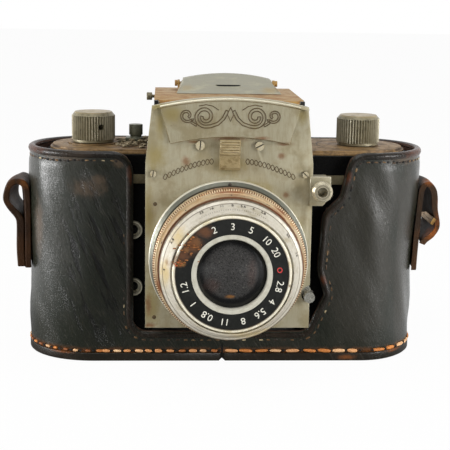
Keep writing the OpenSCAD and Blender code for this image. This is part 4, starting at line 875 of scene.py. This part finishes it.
def stitch_row(name, path, pitch, size, thread, tones, out, skip):
    """A row of stitches along a path on the wall, each with its own tone, and the holes between them."""
    bm = bmesh.new()
    bared = bm.verts.layers.float.new("bared")
    length, width, height = size
    travelled = 0.0
    aim = pitch / 2
    for a, b in zip(path, path[1:]):
        reach = (b - a).length
        while reach and aim < travelled + reach:
            s, z = a + (b - a) * ((aim - travelled) / reach)
            aim += pitch * random.uniform(0.88, 1.12)
            here, run, side, outward = seat_on_wall(s, z, (b - a) / reach, out)
            # Each awl hole is a flat black disc: painted shade in the hole.
            hole = axes_at(here + run * pitch * 0.5 * MM, run, side, outward) @ shaped(0.42, 0.42, 0.1)
            for face in {f for v in bead(bm, 8, 4, hole) for f in v.link_faces}:
                face.material_index = 1
            if random.random() < skip:
                continue
            run = (run + side * random.uniform(-0.12, 0.12)).normalized()
            side = outward.cross(run)
            grow = random.uniform(0.75, 1.15)
            shape = shaped(length / 2 * grow, width / 2 * random.uniform(0.8, 1.15), height / 2)
            tone = random.choice(tones)
            for v in bead(bm, 10, 6, axes_at(here, run, side, outward) @ shape, blunt=0.6):
                v[bared] = tone
        travelled += reach
    piece_from(bm, name, [thread, hole_dark], "case")


def case_sewing():
    """Stitches beside the binding and the bold ones that hold the sole."""
    worn = [0.05, 0.15, 0.25, 0.4, 0.5, 0.65, 1.0]
    rim = CASE_TOP - 3.15
    end = SEAM_HALF - 1
    for name, path, skip in (("edge_stitches", inset_path(CUT, STITCH_INSET), 0.06),
                             ("rim_stitches_right", level_line(CUT[-1].x, end, rim), 0.05),
                             ("rim_stitches_left", level_line(-end, CUT[0].x, rim), 0.05)):
        stitch_row(name, stepped(path, 2), 2.5, (1.5, 0.5, 0.4), edge_thread, worn, -0.52, skip)
    left = stepped(level_line(-end, -39.5, WELT_Z), 2)
    middle = stepped(level_line(-39.5, -2.5, WELT_Z), 2)
    right = stepped(level_line(-1.5, end, WELT_Z), 2)
    stitch_row("welt_stitches_left", left, 3.4, (2.1, 0.8, 0.7), welt_thread,
               [0.15, 0.4, 0.6, 0.9, 1.0], -0.15, 0.25)
    stitch_row("welt_stitches_middle", middle, 3.3, (2.3, 1.0, 0.8), welt_thread,
               [0.3, 0.5, 0.7, 0.85, 1.0], -0.1, 0.1)
    stitch_row("welt_stitches_right", right, 4.9, (4.3, 1.15, 0.8), welt_thread,
               [0.45, 0.5, 0.6, 0.75, 0.9], -0.1, 0.03)


case_sewing()


def smooth_path(path, steps=6):
    """A smooth curve through points."""
    points = []
    for i in range(len(path) - 1):
        p0, p1, p2, p3 = (Vector(path[max(0, min(len(path) - 1, k))]) for k in (i - 1, i, i + 1, i + 2))
        for k in range(steps):
            t = k / steps
            points.append(0.5 * (2 * p1 + (p2 - p0) * t + (2 * p0 - 5 * p1 + 4 * p2 - p3) * t * t
                                 + (3 * p1 - p0 - 3 * p2 + p3) * t ** 3))
    return points + [Vector(path[-1])]


def strap_loop(name, side, end_x, path, thick, mat, node_name):
    """A leather strap folded into a loop, cut as a profile and bent round the case end."""
    points = smooth_path(path)
    left, right = inset_path(points, thick / 2), inset_path(points, -thick / 2)
    bm = bmesh.new()
    for k in range(len(points) - 1):
        ring = [left[k], left[k + 1], right[k + 1], right[k]]
        bm.faces.new([bm.verts.new((p.x, 0, p.y)) for p in ring])
    bmesh.ops.remove_doubles(bm, verts=bm.verts, dist=1e-4)
    half, slices = 7.0, 8
    bmesh.ops.translate(bm, verts=bm.verts, vec=(0, -half, 0))
    sheet = bm.faces[:]
    for _ in range(slices):
        made = bmesh.ops.extrude_face_region(bm, geom=sheet)
        sheet = [g for g in made["geom"] if isinstance(g, bmesh.types.BMFace)]
        moved = list({v for f in sheet for v in f.verts})
        bmesh.ops.translate(bm, verts=moved, vec=(0, 2 * half / slices, 0))
    bmesh.ops.recalc_face_normals(bm, faces=bm.faces)
    inner = [f for f in bm.faces if abs(f.normal.y) > 0.9 and abs(f.calc_center_median().y) < half - 0.1]
    bmesh.ops.delete(bm, geom=inner, context="FACES")
    for v in bm.verts:
        wobble = 0.25 * noise.noise(Vector((v.co.y * 0.2, v.co.z * 0.15, 4 * side)))
        bend = CASE_ROUND - math.sqrt(CASE_ROUND ** 2 - v.co.y ** 2)
        hug = max(0.0, 1 - max(0.0, v.co.x - 1.5) / 3.5)
        inward = 0.45 * smooth_step(v.co.y / half) * max(0.0, v.co.x - 2.2)
        x = end_x + side * (v.co.x - inward - bend * hug + wobble * 0.4)
        v.co = Vector((x + lean(end_x, v.co.z), v.co.y * (1 + wobble * 0.05), v.co.z + wobble)) * MM
    strap = piece_from(bm, name, [mat], "case", smooth=50)
    soft = strap.modifiers.new("soft_edge", "BEVEL")
    soft.width = 0.35 * MM
    soft.segments = 2
    soft.angle_limit = math.radians(50)
    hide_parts(node_name)


strap_loop("left_strap_loop", -1, -60.7,
           [(0.95, 26.4), (0.95, 38), (1.0, 48), (1.6, 52.6), (3.5, 54.0), (5.4, 53.0), (6.3, 50.6),
            (6.5, 48.2), (5.6, 46.2), (3.7, 43.6), (2.9, 41.0), (2.95, 34), (2.7, 26.8)],
           1.8, strap_umber, "strap_tab_left")
strap_loop("right_strap_loop", 1, 63.6,
           [(0.95, 26.0), (0.95, 38), (1.0, 48.0), (1.4, 52.4), (2.6, 53.9), (3.9, 52.4), (4.6, 49.6),
            (5.0, 45.4), (6.2, 40.6), (5.2, 38.0), (3.4, 35.9), (2.6, 34.6)],
           1.5, strap_tan, "strap_tab_right")


def lettering(name, words, mat, body, depth=0.06):
    """Plain numbers and marks: each entry has its text, size and place matrix."""
    bm = bmesh.new()
    for text, size, place in words:
        curve = bpy.data.curves.new(name, "FONT")
        curve.body = text
        curve.size = size * MM
        curve.extrude = depth * MM
        curve.align_x = "CENTER"
        curve.align_y = "CENTER"
        take_mesh(bm, curve, place)
    bmesh.ops.remove_doubles(bm, verts=bm.verts, dist=1e-6)
    piece_from(bm, name, [mat], body)


def on_ring(angle, radius, forward, tilt=0.0):
    """Place on the lens, its angle clockwise from the top as seen from the front, tilted out by a tilt."""
    upright = Matrix.Rotation(math.radians(90), 4, "X")
    back = Matrix.Rotation(math.radians(-tilt), 4, "X")
    out = Matrix.Translation((0, -forward * MM, radius * MM)) @ upright @ back
    return Matrix.Translation((0, 0, LENS_Z * MM)) @ Matrix.Rotation(math.radians(angle), 4, "Y") @ out


def lens_marks():
    """Numbers and ticks of the lens scales: plain figures only."""
    front, figure_r = NAME_RING_FRONT + 0.02, 13.4
    ring = [(-150, "0.8"), (-128, "1"), (-106, "1.2"), (-22, "2"), (0, "3"), (22, "5"), (44, "10"),
            (62, "20"), (104, "2.8"), (124, "4"), (144, "5.6"), (166, "8"), (188, "11")]
    words = [(t, 2.7, on_ring(angle, figure_r, front)) for angle, t in ring]
    lettering("front_ring_figures", words, paint_white, "lens_head")
    words = [("o", 3.2, on_ring(84, figure_r, front))]
    lettering("front_ring_red_mark", words, paint_red, "lens_head")
    stops = ["22", "16", "11", "8", "5.6", "4", "2.8"]
    depths = ((-88, "4"), (-62, "2.8"), (56, "22"), (74, "16"))
    words = [(t, 1.25, on_ring(-27 + i * 9, 18.75, 54.6, 60)) for i, t in enumerate(stops)]
    words += [("I", 0.7, on_ring(-30 + i * 2, 17.9, 56.4, 60)) for i in range(31)]
    words += [(t, 1.4, on_ring(angle, 18.7, 54.8, 60)) for angle, t in depths]
    lettering("aperture_figures", words, paint_black, "aperture", 0.03)
    feet = [(-100, "1.5"), (-70, "2"), (-38, "3"), (0, "5"), (30, "10"), (64, "20")]
    words = [(t, 1.3, on_ring(angle, 20.65, 48.9, 88)) for angle, t in feet]
    words += [("I", 0.9, on_ring(10 + i * 6, 20.65, 49.6, 88)) for i in range(12)]
    lettering("distance_figures", words, paint_black, "focus", 0.03)
    bm = bmesh.new()
    bead(bm, 12, 6, on_ring(0, 22.2, 40.6) @ shaped(0.55, 0.55, 0.165))
    piece_from(bm, "flange_index_dot", [paint_black], "camera")


lens_marks()


def milled_edge():
    """The notched front edge of the focusing ring, a thin hoop over its corner."""
    bm = bmesh.new()
    loop = [on_ring(a * 3, 21.35, 45.9) @ Vector((0, 0, 0)) for a in range(120)]
    cord_of(bm, loop, 0.62, closed=True, flat=2)
    piece_from(bm, "focus_ring_teeth", [focus_teeth], "focus", smooth=80)


milled_edge()


def face_line(bm, points, radius, y):
    """An engraved line on an upright face, through points of x and z in millimetres."""
    cord_of(bm, [(x * MM, y * MM, z * MM) for x, z in points], radius, flat=1)


def bowed(half, top, flatness):
    """Points of x and z along an edge that bows upwards in the middle, like a flat arch."""
    return [(x, top - x * x / flatness) for x in range(-half, half + 1, 2)]


def ribbon(bm, points, half, y):
    """The two edges of an engraved ribbon along a path, closed at its ends."""
    path = [Vector(p) for p in points]
    left, right = inset_path(path, half), inset_path(path, -half)
    face_line(bm, left + right[::-1] + left[:1], 0.16, y)


def scroll(middle, turns, first, last, begin):
    """Points of a spiral round a middle, from its first to its last radius, with angles in degrees."""
    count = 30
    points = []
    for i in range(count + 1):
        r = first + (last - first) * i / count
        angle = math.radians(begin + turns * i / count)
        points.append((middle[0] + r * math.cos(angle), middle[1] + r * math.sin(angle)))
    return points


def shield_ornament():
    """A plain mirrored scroll in engraved line, in the field of the shield."""
    inner = [(0.9, 79.6), (2.0, 77.4), (3.6, 75.9), (5.6, 75.2)] + scroll((7.2, 77.9), 470, 2.9, 0.9, -105)
    outer = [(9.6, 75.4), (11.0, 76.2)] + scroll((12.4, 78.2), 380, 1.9, 0.7, -150)
    brow = [(3.4, 79.8), (5.0, 80.9), (7.0, 81.3), (9.0, 80.9)]
    for side, name in ((-1, "shield_scroll_left"), (1, "shield_scroll_right")):
        bm = bmesh.new()
        ribbon(bm, [(side * x, z) for x, z in inner], 0.42, SHIELD_FACE)
        ribbon(bm, [(side * x, z) for x, z in outer], 0.3, SHIELD_FACE)
        face_line(bm, [(side * x, z) for x, z in brow], 0.13, SHIELD_FACE)
        piece_from(bm, name, [engraved_brown], "camera")
    bm = bmesh.new()
    face_line(bm, [(0, 80.6), (0.9, 78.6), (0, 76.6), (-0.9, 78.6), (0, 80.6)], 0.13, SHIELD_FACE)
    piece_from(bm, "shield_lozenge", [engraved_brown], "camera")


shield_ornament()


def rope(side, low, phase):
    """One strand of a rope that falls off to a side of the plate, from its middle down to a height."""
    points = []
    for i in range(121):
        t = i / 120
        height = 65.0 - (65.0 - low) * t ** 1.6
        points.append((side * (4.6 + t * 14.4), height + 0.8 * math.sin(t * 12 * math.pi + phase)))
    return points


def plate_lines():
    """A plain engraved rope pattern over the lens, dots beside the sockets, painted shade along pressed
    edges, and a pale bead on the top roll for rubbed wear and a painted highlight.
    """
    bm = bmesh.new()
    for side, low in ((-1, 60.1), (1, 60.4)):
        for phase in (0, math.pi):
            face_line(bm, rope(side, low, phase), 0.11, PLATE_FACE)
    for x, z in ((-21.3, 52.5), (-21.5, 18.8)):
        bead(bm, 12, 6, Matrix.Translation((x * MM, PLATE_FACE * MM, z * MM)) @ shaped(0.6, 0.12, 0.6))
    piece_from(bm, "plate_engraving", [engraved_brown], "camera")
    # Brown lines under the top roll, along the lower step and down the sides of the shield: painted shade.
    bm = bmesh.new()
    face_line(bm, bowed(20, 82.42, 177), 0.12, -38.12)
    face_line(bm, bowed(17, 72.1, 146.5), 0.2, PLATE_FACE)
    for side in (-1, 1):
        face_line(bm, [(side * 17.2, 70.4), (side * 19.9, 81.2)], 0.13, PLATE_FACE)
    piece_from(bm, "painted_shade_along_pressed_edges", [pressed_edge_shade], "camera")
    # A pale bead along the shield's top roll: rubbed wear and a painted highlight.
    bm = bmesh.new()
    face_line(bm, bowed(20, 83.02, 177), 0.3, -38.3)
    piece_from(bm, "top_roll_wear_and_highlight", [plate_edge], "camera")


plate_lines()


def lumps(name, middle, spread, count, size, mat, body):
    """Low irregular flakes of dirt or rust scattered round a middle."""
    bm = bmesh.new()
    for k in range(count):
        at = Vector(middle) + Vector([random.gauss(0, 1) * reach for reach in spread])
        made = bmesh.ops.create_icosphere(bm, subdivisions=2, radius=size * random.uniform(0.4, 1.0))
        for v in made["verts"]:
            v.co *= 1 + 0.45 * noise.noise(v.co * 1.7 + Vector((k, 3, 1)))
            v.co = (Vector((v.co.x, v.co.y, v.co.z * 0.45)) + at) * MM
    piece_from(bm, name, [mat], body, smooth=60)


lumps("grime_round_the_selector", (-28.5, -1.5, 65.9), (3.6, 4.6, 0.45), 70, 1.15, crust, "camera")
lumps("rust_on_the_name_ring", (-11.4, -58.0, 44.6), (1.7, 0.08, 1.9), 26, 0.5, rust_crust, "lens_head")
lumps("rust_on_the_lip", (-14.6, -58.0, 40.2), (0.7, 0.1, 0.6), 10, 0.5, rust_crust, "lens_head")


def set_world():
    """White surroundings for the camera and glass, darker near ones for gloss, and a mild plain light."""
    plain_level = 0.3
    world = bpy.data.worlds.new("white_room")
    world.use_nodes = True
    tree = world.node_tree
    back = tree.nodes["Background"]
    glossy = add(tree, "LightPath", take="Is Glossy Ray")
    depth = add(tree, "SeparateXYZ", {0: add(tree, "TexCoord", take="Generated")}, take="Y")
    gloss = add(tree, "MapRange", {"Value": depth, "From Min": -0.6, "From Max": 0.6,
                                   "To Min": 0.12, "To Max": 1.0})
    level = pile(tree, (glossy, -plain_level), (1.0, plain_level))
    level = add(tree, "Math", {0: glossy, 1: gloss, 2: level}, operation="MULTIPLY_ADD")
    seen = add(tree, "Math", {0: add(tree, "LightPath", take="Is Camera Ray"),
                              1: add(tree, "LightPath", take="Is Transmission Ray")}, operation="MAXIMUM")
    back.inputs["Color"].default_value = linear("#ffffff")
    tree.links.new(add(tree, "Math", {0: seen, 1: level}, operation="MAXIMUM"), back.inputs["Strength"])
    bpy.context.scene.world = world


set_world()


def floor():
    """Pale floor that shows white to the camera, keeps a soft shadow, and glows at the sides for gloss."""
    bm = bmesh.new()
    bmesh.ops.create_grid(bm, x_segments=1, y_segments=1, size=3.0)
    bmesh.ops.translate(bm, verts=bm.verts, vec=(0, 0, -0.0002))
    mesh = bpy.data.meshes.new("floor")
    bm.to_mesh(mesh)
    bm.free()
    ground = bpy.data.objects.new("floor", mesh)
    bpy.context.scene.collection.objects.link(ground)
    mat = bpy.data.materials.new("pale_floor")
    mat.use_nodes = True
    tree = mat.node_tree
    shader = tree.nodes["Principled BSDF"]
    shader.inputs["Base Color"].default_value = linear("#e8e8e6")
    shader.inputs["Roughness"].default_value = 0.9
    seen = add(tree, "Math", {0: add(tree, "LightPath", take="Is Camera Ray"),
                              1: add(tree, "LightPath", take="Is Transmission Ray")}, operation="MAXIMUM")
    across = add(tree, "SeparateXYZ", {0: add(tree, "TexCoord", take="Object")}, take="X")
    right = add(tree, "MapRange", {"Value": across, "From Min": 0.04, "From Max": 0.11},
                interpolation_type="SMOOTHSTEP")
    left = add(tree, "MapRange", {"Value": across, "From Min": -0.07, "From Max": -0.15},
               interpolation_type="SMOOTHSTEP")
    sides = add(tree, "Math", {0: right, 1: left}, operation="MAXIMUM")
    glossy = add(tree, "LightPath", take="Is Glossy Ray")
    strength = add(tree, "Math", {0: seen, 1: pile(tree, (sides, 0.78), (1.0, 0.2))}, operation="MAXIMUM")
    glow = add(tree, "Emission", {"Strength": strength})
    share = add(tree, "Math", {0: pile(tree, (seen, 0.96)), 1: glossy}, operation="MAXIMUM")
    mix = add(tree, "MixShader", {0: share, 1: shader.outputs[0], 2: glow})
    tree.links.new(mix, tree.nodes["Material Output"].inputs["Surface"])
    mesh.materials.append(mat)


floor()


def lamp(name, place, target, size, power):
    """A soft square lamp that looks at a target."""
    light = bpy.data.lights.new(name, "AREA")
    light.size = size
    light.energy = power
    holder = bpy.data.objects.new(name, light)
    holder.location = place
    holder.rotation_euler = (Vector(target) - Vector(place)).to_track_quat("-Z", "Y").to_euler()
    bpy.context.scene.collection.objects.link(holder)


lamp("left_softbox", (-0.75, -0.12, 0.14), (0, 0, 0.03), 0.26, 5.5)
lamp("right_softbox", (0.6, -0.42, 0.2), (0, 0, 0.03), 0.3, 4.6)
lamp("front_softbox", (-0.2, -0.62, 0.8), (0, 0, 0.04), 0.5, 3.2)
lamp("top_softbox", (0, 0.05, 0.75), (0, 0, 0.04), 0.5, 0.8)


def set_camera():
    """Camera at the photo's place: 380 mm away, 11.2 degrees up, 3 degrees to the left."""
    az, el, roll = math.radians(-3.052), math.radians(11.237), math.radians(0.86)
    back = Vector((math.sin(az) * math.cos(el), -math.cos(az) * math.cos(el), math.sin(el)))
    right = Vector((math.cos(az), math.sin(az), 0))
    up = back.cross(right)
    turned_right = right * math.cos(roll) + up * math.sin(roll)
    turned_up = up * math.cos(roll) - right * math.sin(roll)
    camera = bpy.data.cameras.new("camera")
    camera.sensor_width = 36
    camera.lens = 94.45
    camera.clip_start = 0.01
    holder = bpy.data.objects.new("camera", camera)
    turn = Matrix((turned_right, turned_up, back)).transposed().to_4x4()
    holder.matrix_world = Matrix.Translation((-0.01893, -0.37208, 0.11307)) @ turn
    bpy.context.scene.collection.objects.link(holder)
    bpy.context.scene.camera = holder


set_camera()
bpy.context.scene.view_settings.view_transform = "Standard"
